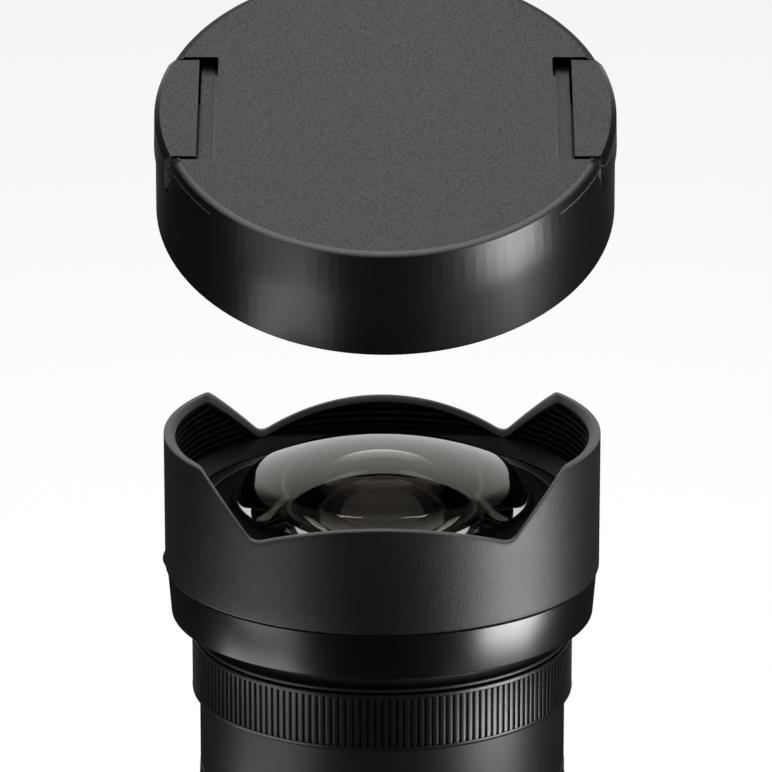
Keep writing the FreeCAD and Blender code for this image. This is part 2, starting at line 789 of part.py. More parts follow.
def contact_pins():
    block_low = -throat_tube_length + 1.0
    return Part.makeCompound(contact_places(contact_radius, block_low - 0.6, block_low + 1.0))


def rear_cell():
    """Fixed rear holder: a flange under the main barrel's foot and a hub that reaches into the throat."""
    flange_top = z_rear_top - foot_thickness
    flange_low = flange_top - 1.8
    flange_radius = (guide_bore + rear_bore) / 2
    cell = turned([
        (rear_glass_radius + seat_gap, 5.2), (rear_glass_radius + seat_gap, 0.6), (rear_hub_radius, 0.2, 0.3),
        (rear_hub_radius, flange_low), (flange_radius, flange_low), (flange_radius, flange_top),
        (relay_glass_radius + 0.1, flange_top),
        (relay_glass_radius + seat_gap, relay_seat), (relay_glass_radius - 1.5, relay_seat),
        (relay_glass_radius - 1.5, 5.2)])
    for angle in rod_angles:
        cell = cell.cut(spun(disc(rod_radius + seat_gap, rod_low, flange_top + 1, rod_circle), angle))
    return cell


def rear_glasses():
    rear = glass(rear_glass_radius, 5.7, 120.0, 1.2, -40.0, rear_glass_radius)
    relay = glass(relay_glass_radius, relay_seat + 4.6, 28.0, relay_seat, 0, relay_glass_radius)
    return rear, relay


def circuit_board():
    """C-shaped board on the rear barrel's three posts."""
    return sector(board_post_circle - 2.5, board_post_circle + 1.5, board_height, board_height + 1.0, 25, 335)


# Iris: housing, seven blades on their own levels, drive ring, cover and motor

def iris_level(index):
    return iris_low + 1.0 + blade_pitch * index


def iris_housing():
    outer = guide_bore - 0.1
    housing = turned([
        (iris_window, iris_low), (outer, iris_low), (outer, iris_top), (iris_wall_inner, iris_top),
        (iris_wall_inner, iris_low + 0.8), (iris_window, iris_low + 0.8)])
    hole = disc(blade_pin_radius + seat_gap, iris_low + 0.15, iris_low + 2, blade_pivot_circle)
    for piece in ring_of(hole, blade_count):
        housing = housing.cut(piece)
    for angle in rod_angles:
        housing = housing.cut(spun(disc(rod_radius + seat_gap, iris_low - 1, iris_low + 0.5, rod_circle), angle))
    return housing


def iris_cover():
    return tube(guide_bore - 0.1, iris_window, iris_top, iris_top + 0.8)


def iris_blade(index):
    """Crescent with a pivot pin below it and a drive pin above it, on its own level."""
    low = iris_level(index)
    top = low + blade_thickness
    blade = sector(blade_inner, blade_outer, low, top, -4, blade_sweep)
    end = (blade_inner + blade_outer) / 2
    tip = disc((blade_outer - blade_inner) / 2, low, top, end)
    blade = blade.fuse(spun(tip, blade_sweep))
    pivot = blade_pivot_circle
    ear = plate([(pivot - 4.0, -4.0), (pivot + 0.6, -blade_arm - 1.3, 0.9), (pivot + 1.5, -blade_arm - 0.6, 0.8),
                 (pivot + 1.5, 1.2, 1.2), (pivot - 3.0, 3.6)], low, top)
    blade = blade.fuse(ear)
    blade = blade.fuse(disc(blade_pin_radius, iris_low + 0.2, low + blade_thickness / 2, pivot))
    blade = blade.fuse(disc(blade_pin_radius, low + blade_thickness / 2, drive_top - 0.1, pivot, -blade_arm))
    return spun(blade, 360.0 * index / blade_count)


def drive_pin_place(share):
    """Place of a blade's drive pin as the drive ring sees it, at a share of the full turn."""
    turn = math.radians(blade_turn * share)
    place = FreeCAD.Vector(blade_pivot_circle + blade_arm * math.sin(turn), -blade_arm * math.cos(turn), 0)
    return FreeCAD.Rotation(UP, -iris_ring_turn * share).multVec(place)


def iris_drive_ring():
    """Ring whose curved slots push the blades' drive pins outwards as it turns."""
    ring = tube(iris_wall_inner - running_gap, blade_outer + 1.1, drive_low, drive_top)
    half = blade_pin_radius + 0.1
    places = [drive_pin_place(share) for share in (0.0, 0.5, 1.0)]
    path = Part.Arc(*places).toShape()
    centre = path.Curve.Center
    radius = path.Curve.Radius
    heading = [math.degrees(math.atan2(place.y - centre.y, place.x - centre.x)) for place in places]
    sweep = (heading[2] - heading[0] + 180.0) % 360.0 - 180.0
    first = min(heading[0], heading[0] + sweep)
    slot = sector(radius - half, radius + half, drive_low - 1, drive_top + 1, first, first + abs(sweep))
    slot.translate(centre)
    for place in (places[0], places[2]):
        slot = slot.fuse(disc(half, drive_low - 1, drive_top + 1, place.x, place.y))
    for piece in ring_of(slot, blade_count):
        ring = ring.cut(piece)
    return ring


def iris_motor():
    """Small stepping motor under the housing."""
    can = disc(3.1, iris_low - 9.5, iris_low - seat_gap, 21.0)
    can = can.fuse(disc(1.0, iris_low - 10.2, iris_low - 9.5, 21.0))
    return spun(can, 180)


# Focus group: a cell that a linear motor slides along two rods

def focus_cell():
    low = focus_low
    top = focus_low + focus_cell_height
    cell = turned([
        (focus_glass_radius - 1.2, low), (focus_cell_radius, low, 0.3), (focus_cell_radius, top, 0.3),
        (focus_glass_radius + seat_gap, top), (focus_glass_radius + seat_gap, low + 1.0),
        (focus_glass_radius - 1.2, low + 1.0)])
    arm = block(focus_cell_radius - 1.0, rod_circle, 1.6, low + 1, top - 0.5)
    for angle, sleeve_low, sleeve_top in ((rod_angles[0], low - 1.2, top + 1.6), (rod_angles[1], low + 1, top - 0.5)):
        cell = cell.fuse(spun(arm, angle)).fuse(spun(disc(2.2, sleeve_low, sleeve_top, rod_circle), angle))
        cell = cell.cut(spun(disc(rod_radius + rod_fit, low - 5, top + 5, rod_circle), angle))
    return cell.fuse(block(focus_cell_radius - 1.0, coil_inner, 3.0, low + 0.6, top - 0.4))


def guide_rods():
    rod = disc(rod_radius, rod_low + seat_gap, iris_low + 0.45, rod_circle)
    return Part.makeCompound([spun(rod, angle) for angle in rod_angles])


def focus_coil():
    coil = block(coil_inner, coil_inner + 2.6, 5.2, focus_low + 0.2, focus_low + focus_cell_height - 0.2)
    return coil.cut(block(coil_inner + 0.5, coil_inner + 2.1, 3.9, focus_low - 1, focus_low + focus_cell_height + 1))


def motor_yoke():
    """Steel frame whose inner leg the coil rides along."""
    low = z_rear_top - foot_thickness
    inner = coil_inner + 0.8
    yoke = block(inner, motor_outer, 3.4, low, iris_low - 0.2)
    yoke = yoke.cut(block(inner + 1.0, motor_outer - 1.0, 4, low + 1.0, iris_low - 1.2))
    return yoke


def motor_magnet():
    low = z_rear_top - foot_thickness + 1.0
    return block(motor_outer - 2.1, motor_outer - 1.0, 3.3, low + seat_gap, iris_low - 1.2 - seat_gap)


# Variator and front group, which the cam barrel moves

def followers(inner, height):
    """Three follower pins in a cell, reaching through the guide barrel into the cam barrel."""
    pin = cross_pin(follower_radius, inner, cam_outer - 0.2, 0, height)
    return Part.makeCompound(ring_of(pin, follower_count, follower_angle))


def follower_holes(shape, inner, outer, height):
    for hole in ring_of(cross_pin(follower_radius + seat_gap, inner, outer, 0, height), follower_count,
                        follower_angle):
        shape = shape.cut(hole)
    return shape


def variator_cell():
    outer = guide_bore - running_gap
    low = variator_low
    cell = turned([
        (variator_rear_radius - 1.2, low + 3.4), (variator_rear_radius - 1.2, low + 2.6),
        (variator_rear_radius + seat_gap, low + 2.6), (variator_rear_radius + seat_gap, low),
        (variator_glass_radius + 1.6, low), (variator_glass_radius + 1.6, low + 3.2), (outer - 2.6, low + 3.2),
        (outer - 2.6, low + 1.0), (outer, low + 1.0), (outer, low + 9.0), (outer - 2.6, low + 9.0),
        (outer - 2.6, low + 4.8), (variator_glass_radius + 1.6, low + 4.8), (variator_glass_radius + 1.6, low + 8.2),
        (variator_glass_radius + seat_gap, low + 8.2), (variator_glass_radius + seat_gap, low + 3.4)])
    return follower_holes(cell, outer - 1.8, outer + 1, variator_pin_height)


def variator_glasses():
    front = glass(variator_glass_radius, variator_low + 5.6, -48.0, variator_low + 4.8, 60.0,
                  variator_glass_radius - 2.0)
    rear = glass(variator_rear_radius, variator_low + 0.85, -50.0, variator_low + 0.1, 0, variator_rear_radius)
    return front, rear


def front_cell():
    """Cup that holds the three front elements and runs in the hood's bore and in the guide barrel."""
    outer = front_bore - running_gap
    tail = guide_bore - running_gap
    top = z_seam + ledge_height - ledge_drop
    seat = front_seat
    cell = turned([
        (mask_radius + 0.1, top - mask_height), (mask_radius + 0.1, top, 0.2), (outer, top, 0.3), (outer, seat - 10.5),
        (outer - 1.5, seat - 10.5), (outer - 1.5, seat - 3.0), (second_glass_radius + 2.2, seat - 3.0),
        (second_glass_radius + 2.2, seat - 10.4), (tail, seat - 10.4), (tail, front_tail_low),
        (tail - 1.7, front_tail_low), (tail - 1.7, seat - 12.2), (third_glass_radius - 2.0, seat - 12.2),
        (third_glass_radius - 2.0, seat - 10.5), (third_glass_radius + seat_gap, seat - 10.5),
        (third_glass_radius + seat_gap, seat - 6.4), (third_glass_radius + 1.6, seat - 4.5),
        (second_glass_radius + seat_gap, seat - 4.5), (second_glass_radius + seat_gap, seat - 1.0),
        (second_glass_radius + 0.9, seat), (front_glass_radius + seat_gap, seat),
        (front_glass_radius + seat_gap, top - mask_height)])
    return follower_holes(cell, tail - 1.0, tail + 1, front_pin_height)


def front_glasses():
    apex = z_seam + front_glass_apex
    front = glass(front_glass_radius, apex, front_glass_curve, apex - front_glass_centre, front_glass_back_curve,
                  front_glass_back_radius)
    second = glass(second_glass_radius, front_seat + 3.5, 45.0, front_seat + 1.7, 22.5, third_glass_radius + 1.0)
    third = glass(third_glass_radius, front_seat - 5.6, 38.0, front_seat - 10.5, 0, third_glass_radius)
    return front, second, third


def front_mask():
    """Black ring that clamps the front element and slopes away from it."""
    top = z_seam + ledge_height - ledge_drop
    centre = z_seam + front_glass_apex - front_glass_curve
    rim = centre + math.sqrt(front_glass_curve ** 2 - front_glass_radius ** 2)
    low = top - mask_height + seat_gap
    return turned([
        (front_glass_radius + seat_gap, low), (mask_radius, low), (mask_radius, top - 0.1),
        (front_glass_radius + 1.4, rim - 0.2, 0.5), (front_glass_radius + 0.4, rim + 0.75),
        (front_glass_radius - 0.1, rim + 0.85), (front_glass_radius - 0.38, rim + 0.55),
        (front_glass_radius + seat_gap, rim + 0.04)])


# Cap: everything is drawn about its own axis with the rim at height 0, then tilted into place

def in_place(shape):
    """From the cap's own frame to its place above the hood."""
    turn = FreeCAD.Rotation(FreeCAD.Vector(1, 0, 0), cap_tilt)
    place = FreeCAD.Placement(FreeCAD.Vector(cap_side, cap_back, z_seam + cap_lift), turn)
    copy = shape.copy()
    copy.Placement = place.multiply(copy.Placement)
    return copy


def round_block(x0, x1, half_width, z0, z1, corner):
    """Upright block with rounded corners in plan."""
    return plate([(x0, -half_width, corner), (x1, -half_width, corner), (x1, half_width, corner),
                  (x0, half_width, corner)], z0, z1)


def cap_shell():
    """Moulded cup with an opening for each pinch tab, pocket floors, slide rails and screw posts."""
    face_under = cap_height - cap_top
    opening_low = cap_height - pad_height - 0.3
    shell = turned([
        (cap_radius - cap_wall, 0), (cap_radius, 0, 0.3), (cap_radius, cap_height - cap_bevel),
        (cap_radius - cap_bevel, cap_height), (0, cap_height), (0, face_under),
        (cap_radius - cap_wall, face_under)])
    pocket_wall = pad_chord - pocket_width
    for side in (0, 180):
        window = round_block(pocket_wall, cap_radius + 4, pad_half_length + 0.3, face_under - 1, cap_height + 1, 0.6)
        gate = block(cap_radius - cap_wall - 3, cap_radius + 4, pad_half_length + 0.3, opening_low, cap_height + 1)
        shell = shell.cut(spun(window, side)).cut(spun(gate, side))
        floor_top = cap_height - pocket_depth
        tray = block(pocket_wall - 1.2, pad_chord - 0.3, pad_half_length + 1.5, floor_top - 1.4, face_under + 0.5)
        tray = tray.cut(block(pocket_wall, cap_radius, pad_half_length + 0.3, floor_top, cap_height))
        shell = shell.fuse(spun(tray, side))
        for edge in (-1, 1):
            rail = Part.makeBox(12.0, 1.2, face_under - rail_low,
                                FreeCAD.Vector(21.0, edge * (slide_half + 0.9) - 0.6, rail_low))
            shell = shell.fuse(spun(rail, side))
        stop = block(spring_root - 1.2, spring_root, 3.0, rail_low, face_under)
        shell = shell.fuse(spun(stop, side))
    for angle in cap_post_angles:
        post = disc(2.4, inner_plate_top, face_under, cap_post_circle)
        shell = shell.fuse(spun(post, angle))
        shell = shell.cut(spun(disc(0.85, inner_plate_top - 1, face_under - 1.0, cap_post_circle), angle))
    return shell


def cap_inner_plate():
    """Flat cover under the mechanism; the hood's long petals stop against it."""
    body = disc(cap_radius - cap_wall - 0.2, cap_depth, inner_plate_top)
    for side in (0, 180):
        slot = block(hook_inner - pinch_travel - 0.5, cap_radius, hook_half + 0.4, cap_depth - 1, inner_plate_top + 1)
        flat = block(inner_plate_chord, cap_radius, pad_half_length + 0.3, cap_depth - 1, inner_plate_top + 1)
        body = body.cut(spun(slot, side)).cut(spun(flat, side))
    for angle in cap_post_angles:
        body = body.cut(spun(disc(0.9, cap_depth - 1, inner_plate_top + 1, cap_post_circle), angle))
        body = body.cut(spun(disc(1.9, cap_depth - 1, cap_depth + 0.65, cap_post_circle), angle))
    return body


def cap_screws():
    screw = disc(1.8, cap_depth + 0.05, cap_depth + 0.6, cap_post_circle)
    screw = screw.fuse(disc(0.8, cap_depth + 0.05, inner_plate_top + 4.0, cap_post_circle))
    return Part.makeCompound([spun(screw, angle) for angle in cap_post_angles])


def pinch_tab(side):
    """Pad flush with the face, slide plate with a spring post, and a hook that catches inside a petal."""
    pad_low = cap_height - pad_height
    lid_low = cap_height - pocket_depth + running_gap
    reach = cap_radius + pad_proud
    skin = turned([
        (0, pad_low), (reach, pad_low), (reach, cap_height - cap_bevel), (reach - cap_bevel, cap_height),
        (0, cap_height)])
    lid = block(pad_chord, reach + 2, pad_half_length, lid_low, cap_height)
    body = block(pad_chord + pinch_travel + running_gap, reach + 2, pad_half_length, slide_low, lid_low)
    shield = block(cap_radius - shield_wall, reach + 2, pad_half_length, pad_low, slide_low)
    pad = skin.common(lid.fuse(body).fuse(shield))
    slide = block(slide_inner, pad_chord + pinch_travel + 2.5, slide_half, slide_low, slide_low + slide_thickness)
    lug = block(slide_inner, slide_inner + 1.6, 2.6, slide_low, cap_height - cap_top - 0.4)
    arm = block(hook_inner, hook_inner + 1.3, hook_half, hook_low, slide_low + 0.2)
    nib = block(hook_inner + 1.0, hook_nib, hook_half, hook_low + 0.4, hook_low + 1.4)
    tab = pad.fuse(slide).fuse(lug).fuse(arm).fuse(nib)
    return spun(tab, side)


def cap_springs():
    """Closed-up coils between the shell's stops and the tabs, each the plain sleeve that its wire fills."""
    length = slide_inner - pinch_travel - spring_root
    start = FreeCAD.Vector(spring_root, 0, slide_low + slide_thickness + spring_lift)
    along = FreeCAD.Vector(1, 0, 0)
    sleeve = Part.makeCylinder(spring_radius + spring_wire, length, start, along)
    sleeve = sleeve.cut(Part.makeCylinder(spring_radius - spring_wire, length, start, along))
    return Part.makeCompound([sleeve, spun(sleeve, 180)])


save("petal_hood", petal_hood())
save("trim_band", trim_band())
save("main_barrel", main_barrel())
save("hood_screws", hood_screws())
save("guide_barrel", guide_barrel())
save("control_cover", control_cover())
save("control_board", control_board())
save("hold_button", hold_button())
save("mode_switch", mode_switch())
save("zoom_ring", zoom_ring())
save("zoom_grip", zoom_grip())
save("zoom_keys", zoom_keys())
save("cam_barrel", cam_barrel())
save("focus_ring", focus_ring())
save("focus_comb", focus_comb())
save("focus_sensor", focus_sensor())
save("rear_barrel", rear_barrel())
save("mount_plate", mount_plate())
save("mount_screws", mount_screws())
save("mount_gasket", mount_gasket())
save("rear_baffle", rear_baffle())
save("contact_block", contact_block())
save("contact_pins", contact_pins())
save("rear_cell", rear_cell())
for name, element in zip(("rear_element", "relay_element"), rear_glasses()):
    save(name, element)
save("circuit_board", circuit_board())
save("iris_housing", iris_housing())
save("iris_cover", iris_cover())
for index in range(blade_count):
    save("iris_blade_%d" % (index + 1), iris_blade(index))
save("iris_drive_ring", iris_drive_ring())
save("iris_motor", iris_motor())
save("focus_cell", focus_cell())
save("focus_element", glass(focus_glass_radius, focus_low + 3.6, 24.0, focus_low + 1.0, 0, focus_glass_radius))
save("guide_rods", guide_rods())
save("focus_coil", focus_coil())
save("motor_yoke", motor_yoke())
save("motor_magnet", motor_magnet())
save("variator_cell", variator_cell())
for name, element in zip(("variator_front_element", "variator_rear_element"), variator_glasses()):
    save(name, element)
save("variator_followers", followers(guide_bore - running_gap - 1.8 + seat_gap, variator_pin_height))
save("front_cell", front_cell())
for name, element in zip(("front_element", "second_element", "third_element"), front_glasses()):
    save(name, element)
save("front_mask", front_mask())
save("front_followers", followers(guide_bore - running_gap - 1.0 + seat_gap, front_pin_height))
save("cap_shell", in_place(cap_shell()))
save("cap_inner_plate", in_place(cap_inner_plate()))
save("cap_screws", in_place(cap_screws()))
save("cap_springs", in_place(cap_springs()))
for name, side in (("right", 0), ("left", 180)):
    save("pinch_tab_" + name, in_place(pinch_tab(side)))
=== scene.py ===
import math

import bmesh
import bpy
import numpy as np
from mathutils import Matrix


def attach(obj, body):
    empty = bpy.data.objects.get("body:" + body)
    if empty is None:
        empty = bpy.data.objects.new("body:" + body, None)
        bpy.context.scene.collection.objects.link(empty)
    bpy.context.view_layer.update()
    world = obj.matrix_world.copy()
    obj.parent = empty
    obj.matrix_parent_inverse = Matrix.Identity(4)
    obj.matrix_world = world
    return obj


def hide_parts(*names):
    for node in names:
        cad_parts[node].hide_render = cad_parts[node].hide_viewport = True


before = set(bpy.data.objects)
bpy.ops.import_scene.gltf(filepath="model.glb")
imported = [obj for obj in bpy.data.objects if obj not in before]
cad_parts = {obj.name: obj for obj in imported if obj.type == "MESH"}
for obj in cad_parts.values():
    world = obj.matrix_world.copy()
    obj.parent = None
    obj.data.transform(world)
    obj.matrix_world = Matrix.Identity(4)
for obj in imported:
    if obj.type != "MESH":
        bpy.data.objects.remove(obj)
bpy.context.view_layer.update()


# Rear barrel: an aluminium casting turned true on a lathe and sprayed with a fine matt black paint, screwed to
# the main barrel. Its shape is the solid's, with the loose triangles joined so that it shades evenly.

def linear(colour):
    """sRGB hex as linear RGBA: a channel c becomes ((c + 0.055) / 1.055) ** 2.4, or c / 12.92 if very dark."""
    channels = [int(colour[i:i + 2], 16) / 255 for i in (1, 3, 5)]
    return [c / 12.92 if c <= 0.04045 else ((c + 0.055) / 1.055) ** 2.4 for c in channels] + [1.0]


def add_node(tree, kind, settings=(), links=()):
    """Adds a node. A setting names a property or an input; a link is (input, node, output)."""
    node = tree.nodes.new(kind)
    for name, value in dict(settings).items():
        if isinstance(name, int) or name in node.inputs:
            node.inputs[name].default_value = value
        else:
            setattr(node, name, value)
    for target, source, output in links:
        tree.links.new(source.outputs[output], node.inputs[target])
    return node


def start_material(name):
    """Material with an empty node tree; returns both."""
    material = bpy.data.materials.new(name)
    material.use_nodes = True
    material.node_tree.nodes.clear()
    return material, material.node_tree


def grained(name, dark, light, roughness, grain_mm, height_mm, specular=0.2, **shader_settings):
    """Sprayed or moulded surface. A noise of the grain's size gives its height, and its colour, which goes from
    dark to light over the middle fifth of the noise. A second noise, of 25 mm, makes the roughness drift. Each
    noise's scale is 1000 / its size in millimetres, on Object coordinates."""
    material, tree = start_material(name)
    place = add_node(tree, "ShaderNodeTexCoord")
    grain = add_node(tree, "ShaderNodeTexNoise", {"Scale": 1000 / grain_mm, "Detail": 3.0, "Roughness": 0.6},
                     [("Vector", place, "Object")])
    drift = add_node(tree, "ShaderNodeTexNoise", {"Scale": 1000 / 25, "Detail": 2.0},
                     [("Vector", place, "Object")])
    share = add_node(tree, "ShaderNodeMapRange", {"From Min": 0.4, "From Max": 0.6}, [("Value", grain, "Fac")])
    colour = add_node(tree, "ShaderNodeMix", {"data_type": "RGBA", 6: linear(dark), 7: linear(light)},
                      [(0, share, "Result")])
    rough = add_node(tree, "ShaderNodeMapRange", {"To Min": roughness - 0.05, "To Max": roughness + 0.05},
                     [("Value", drift, "Fac")])
    bump = add_node(tree, "ShaderNodeBump", {"Distance": height_mm / 1000}, [("Height", grain, "Fac")])
    shader = add_node(tree, "ShaderNodeBsdfPrincipled", {"Specular IOR Level": specular, **shader_settings},
                      [("Base Color", colour, 2), ("Roughness", rough, "Result"), ("Normal", bump, "Normal")])
    add_node(tree, "ShaderNodeOutputMaterial", (), [("Surface", shader, "BSDF")])
    return material


def add_piece(name, mesh, material, body):
    """Object for a finished mesh, which rides on a body and has the material given."""
    mesh.materials.clear()
    mesh.materials.append(material)
    piece = bpy.data.objects.new(name, mesh)
    bpy.context.scene.collection.objects.link(piece)
    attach(piece, body)
    return piece


def join_points(mesh, sharp):
    """Merges points that lie within 2 microns, and leaves an edge sharp where its faces meet at more than an
    angle in degrees."""
    shape = bmesh.new()
    shape.from_mesh(mesh)
    bmesh.ops.remove_doubles(shape, verts=shape.verts, dist=2e-6)
    bmesh.ops.dissolve_degenerate(shape, edges=shape.edges, dist=1e-7)
    shape.to_mesh(mesh)
    shape.free()
    mesh.polygons.foreach_set("use_smooth", np.ones(len(mesh.polygons), bool))
    mesh.set_sharp_from_angle(angle=math.radians(sharp))


def fair_copy(node, material, body, sharp=28.0, shaped=None):
    """Copy of a node's solid with its loose triangles joined, so that its turned surfaces shade evenly. Shaped,
    where it is given, moves the copy's points first."""
    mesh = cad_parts[node].data.copy()
    mesh.name = node + "_surface"
    mesh.polygons.foreach_set("material_index", np.zeros(len(mesh.polygons), np.int32))
    if "custom_normal" in mesh.attributes:
        mesh.attributes.remove(mesh.attributes["custom_normal"])
    if shaped:
        shaped(mesh)
    join_points(mesh, sharp)
    piece = add_piece(node + "_surface", mesh, material, body)
    evened = piece.modifiers.new("evened", "WEIGHTED_NORMAL")
    evened.mode = "FACE_AREA_WITH_ANGLE"
    evened.keep_sharp = True
    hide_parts(node)
    return piece


# Matt paint sprayed on aluminium: a soft grey bloom where light falls across it. The real grain, of some 0.05 mm,
# is too fine to show, so it is drawn at 0.25 mm.
barrel_paint = grained("matt_sprayed_paint_on_aluminium", "#0f0f10", "#19191a", 0.42, 0.25, 0.012, specular=0.35)
fair_copy("rear_barrel", barrel_paint, "barrel")


# Index dot on the rear barrel: a shallow round hole, milled into the paint and filled with white enamel, which
# dries slightly hollow and glossy. It shows where the barrel meets the camera's own dot.

def surface(name, points, material, body, wrap=(True, True), sharp=30.0):
    """Joins a grid points[row, column] by four-sided faces; wrap joins the last row, or column, to the first.
    Rows run so that the outside is on the right of the profile's way up, which turns each face outwards."""
    rows, columns = points.shape[:2]
    i, j = np.meshgrid(np.arange(rows - (not wrap[0])), np.arange(columns - (not wrap[1])), indexing="ij")
    k, l = (i + 1) % rows, (j + 1) % columns
    quads = np.stack([i * columns + j, i * columns + l, k * columns + l, k * columns + j], -1).reshape(-1, 4)
    mesh = bpy.data.meshes.new(name)
    mesh.vertices.add(rows * columns)
    mesh.vertices.foreach_set("co", (points / 1000).astype(np.float32).ravel())
    mesh.loops.add(quads.size)
    mesh.loops.foreach_set("vertex_index", quads.astype(np.int32).ravel())
    mesh.polygons.add(len(quads))
    mesh.polygons.foreach_set("loop_start", np.arange(0, quads.size, 4, dtype=np.int32))
    mesh.update(calc_edges=True)
    join_points(mesh, sharp)
    return add_piece(name, mesh, material, body)


def disc_facing_out(radius, reach, angle, height, crown):
    """Shallow dome on the side of the barrel: along the normal it rises by crown * (1 - (r / radius)^2)."""
    turn = math.radians(angle)
    outward = np.array([math.cos(turn), math.sin(turn), 0.0])
    side = np.array([-math.sin(turn), math.cos(turn), 0.0])
    r, t = np.meshgrid(np.linspace(radius, 0, 8), np.linspace(0, 2 * np.pi, 40, endpoint=False), indexing="ij")
    lift = reach + crown * (1 - (r / radius) ** 2)
    return lift[..., None] * outward + (r * np.cos(t))[..., None] * side + np.stack(
        [np.zeros_like(r), np.zeros_like(r), height + r * np.sin(t)], -1)


# White enamel: a clean, faintly uneven white with a soft gloss.
white_enamel = grained("white_enamel_fill", "#cfcfcb", "#e4e4e0", 0.35, 0.5, 0.004, specular=0.5)
camera_top = 180
dot_radius, dot_reach, dot_height, dot_hollow = 1.25, 33.78, 7.7, 0.06
surface("index_dot", disc_facing_out(dot_radius, dot_reach, camera_top, dot_height, -dot_hollow), white_enamel,
        "barrel", wrap=(False, True))


# Bayonet: a flange and claws turned from brass and plated with satin chrome, held by four steel screws, with a
# moulded rubber lip round it that keeps out water.

def lathe_turned(name, dark, light, roughness, ring_mm, height_mm, **shader_settings):
    """Lathe-turned surface: noise of (distance from the axis, height) alone, so each ring runs right round.
    Its scale is 1000 / the rings' spacing; it gives the colour from dark to light, the roughness and the
    height."""
    material, tree = start_material(name)
    place = add_node(tree, "ShaderNodeTexCoord")
    split = add_node(tree, "ShaderNodeSeparateXYZ", (), [(0, place, "Object")])
    flat = add_node(tree, "ShaderNodeCombineXYZ", (), [("X", split, "X"), ("Y", split, "Y")])
    radius = add_node(tree, "ShaderNodeVectorMath", {"operation": "LENGTH"}, [(0, flat, "Vector")])
    rings = add_node(tree, "ShaderNodeCombineXYZ", (), [("X", radius, "Value"), ("Y", split, "Z")])
    noise = add_node(tree, "ShaderNodeTexNoise", {"Scale": 1000 / ring_mm, "Detail": 2.0}, [("Vector", rings, 0)])
    colour = add_node(tree, "ShaderNodeMix", {"data_type": "RGBA", 6: linear(dark), 7: linear(light)},
                      [(0, noise, "Fac")])
    rough = add_node(tree, "ShaderNodeMapRange", {"To Min": roughness - 0.08, "To Max": roughness + 0.08},
                     [("Value", noise, "Fac")])
    bump = add_node(tree, "ShaderNodeBump", {"Distance": height_mm / 1000}, [("Height", noise, "Fac")])
    shader = add_node(tree, "ShaderNodeBsdfPrincipled", shader_settings,
                      [("Base Color", colour, 2), ("Roughness", rough, "Result"), ("Normal", bump, "Normal")])
    add_node(tree, "ShaderNodeOutputMaterial", (), [("Surface", shader, "BSDF")])
    return material


def finish_nodes(nodes, material):
    """Gives CAD nodes whose shape is right a material in place of their plain one."""
    for node in nodes:
        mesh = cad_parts[node].data
        mesh.materials.clear()
        mesh.materials.append(material)
        mesh.polygons.foreach_set("material_index", np.zeros(len(mesh.polygons), np.int32))


# Satin chrome: a bright, slightly ringed metal edge under the black barrel.
chrome = lathe_turned("satin_chrome_plate", "#b4b5b8", "#d2d3d5", 0.26, 0.15, 0.003, Metallic=1.0)
fair_copy("mount_plate", chrome, "barrel")
# Plain turned steel: greyer than the chrome, with coarser rings.
steel = lathe_turned("plain_steel", "#8e9094", "#b6b8bb", 0.3, 0.2, 0.003, Metallic=1.0)
finish_nodes(["mount_screws", "guide_rods", "zoom_keys", "variator_followers", "front_followers",
              "hood_screws", "cap_screws", "cap_springs"], steel)
# Moulded rubber: a dull black line round the flange.
seal_rubber = grained("moulded_seal_rubber", "#101011", "#1a1a1b", 0.6, 0.4, 0.02)
fair_copy("mount_gasket", seal_rubber, "barrel")


# Rear baffle, contact block and the holders inside: glass-filled black plastic, moulded with a fine matt skin
# that swallows stray light. The contact pins are brass plated with gold.

black_plastic = grained("glass_filled_black_plastic", "#0d0d0e", "#171718", 0.5, 0.3, 0.015)
fair_copy("rear_baffle", black_plastic, "barrel")
finish_nodes(["contact_block", "iris_housing", "iris_cover", "focus_cell", "iris_motor", "cap_inner_plate"],
             black_plastic)
# Gold plate: ten small warm points in the dark block.
gold = lathe_turned("gold_plate_on_brass", "#c89a45", "#e2bb6c", 0.25, 0.3, 0.002, Metallic=1.0)
finish_nodes(["contact_pins"], gold)


# Main barrel: a thin aluminium tube, turned and painted. Its collar under the band is turned down here by 0.9 mm,
# and a cove with a small lip, the focus ring's bearing, fills the step.

def points_of(mesh):
    """A mesh's points in millimetres, one row each."""
    flat = np.zeros(len(mesh.vertices) * 3, np.float32)
    mesh.vertices.foreach_get("co", flat)
    return flat.reshape(-1, 3).astype(float) * 1000


def put_points(mesh, points):
    """Writes points in millimetres back to their mesh."""
    mesh.vertices.foreach_set("co", (points / 1000).astype(np.float32).ravel())
    mesh.update()


collar_radius, collar_turned = 37.2, 36.3
collar_bottom, collar_top, step_raised = 75.5, 78.0, 79.5


def necked(mesh):
    """Scales the collar's points in to its turned radius, and lifts the step above it to make room for the
    cove."""
    points = points_of(mesh)
    radius, height = np.hypot(points[:, 0], points[:, 1]), points[:, 2]
    collar = (height > collar_bottom - 0.1) & (height < collar_top + 0.1) & (radius > collar_radius - 0.1)
    points[collar & (radius < collar_radius + 0.1), :2] *= collar_turned / collar_radius
    points[collar & (radius > 40), 2] = step_raised
    put_points(mesh, points)


def round_axis(radius, height, turn):
    """Points about the optical axis: x = r cos u, y = r sin u, z = h, in millimetres."""
    radius, height, turn = np.broadcast_arrays(radius, height, turn)
    return np.stack([radius * np.cos(turn), radius * np.sin(turn), height], -1)


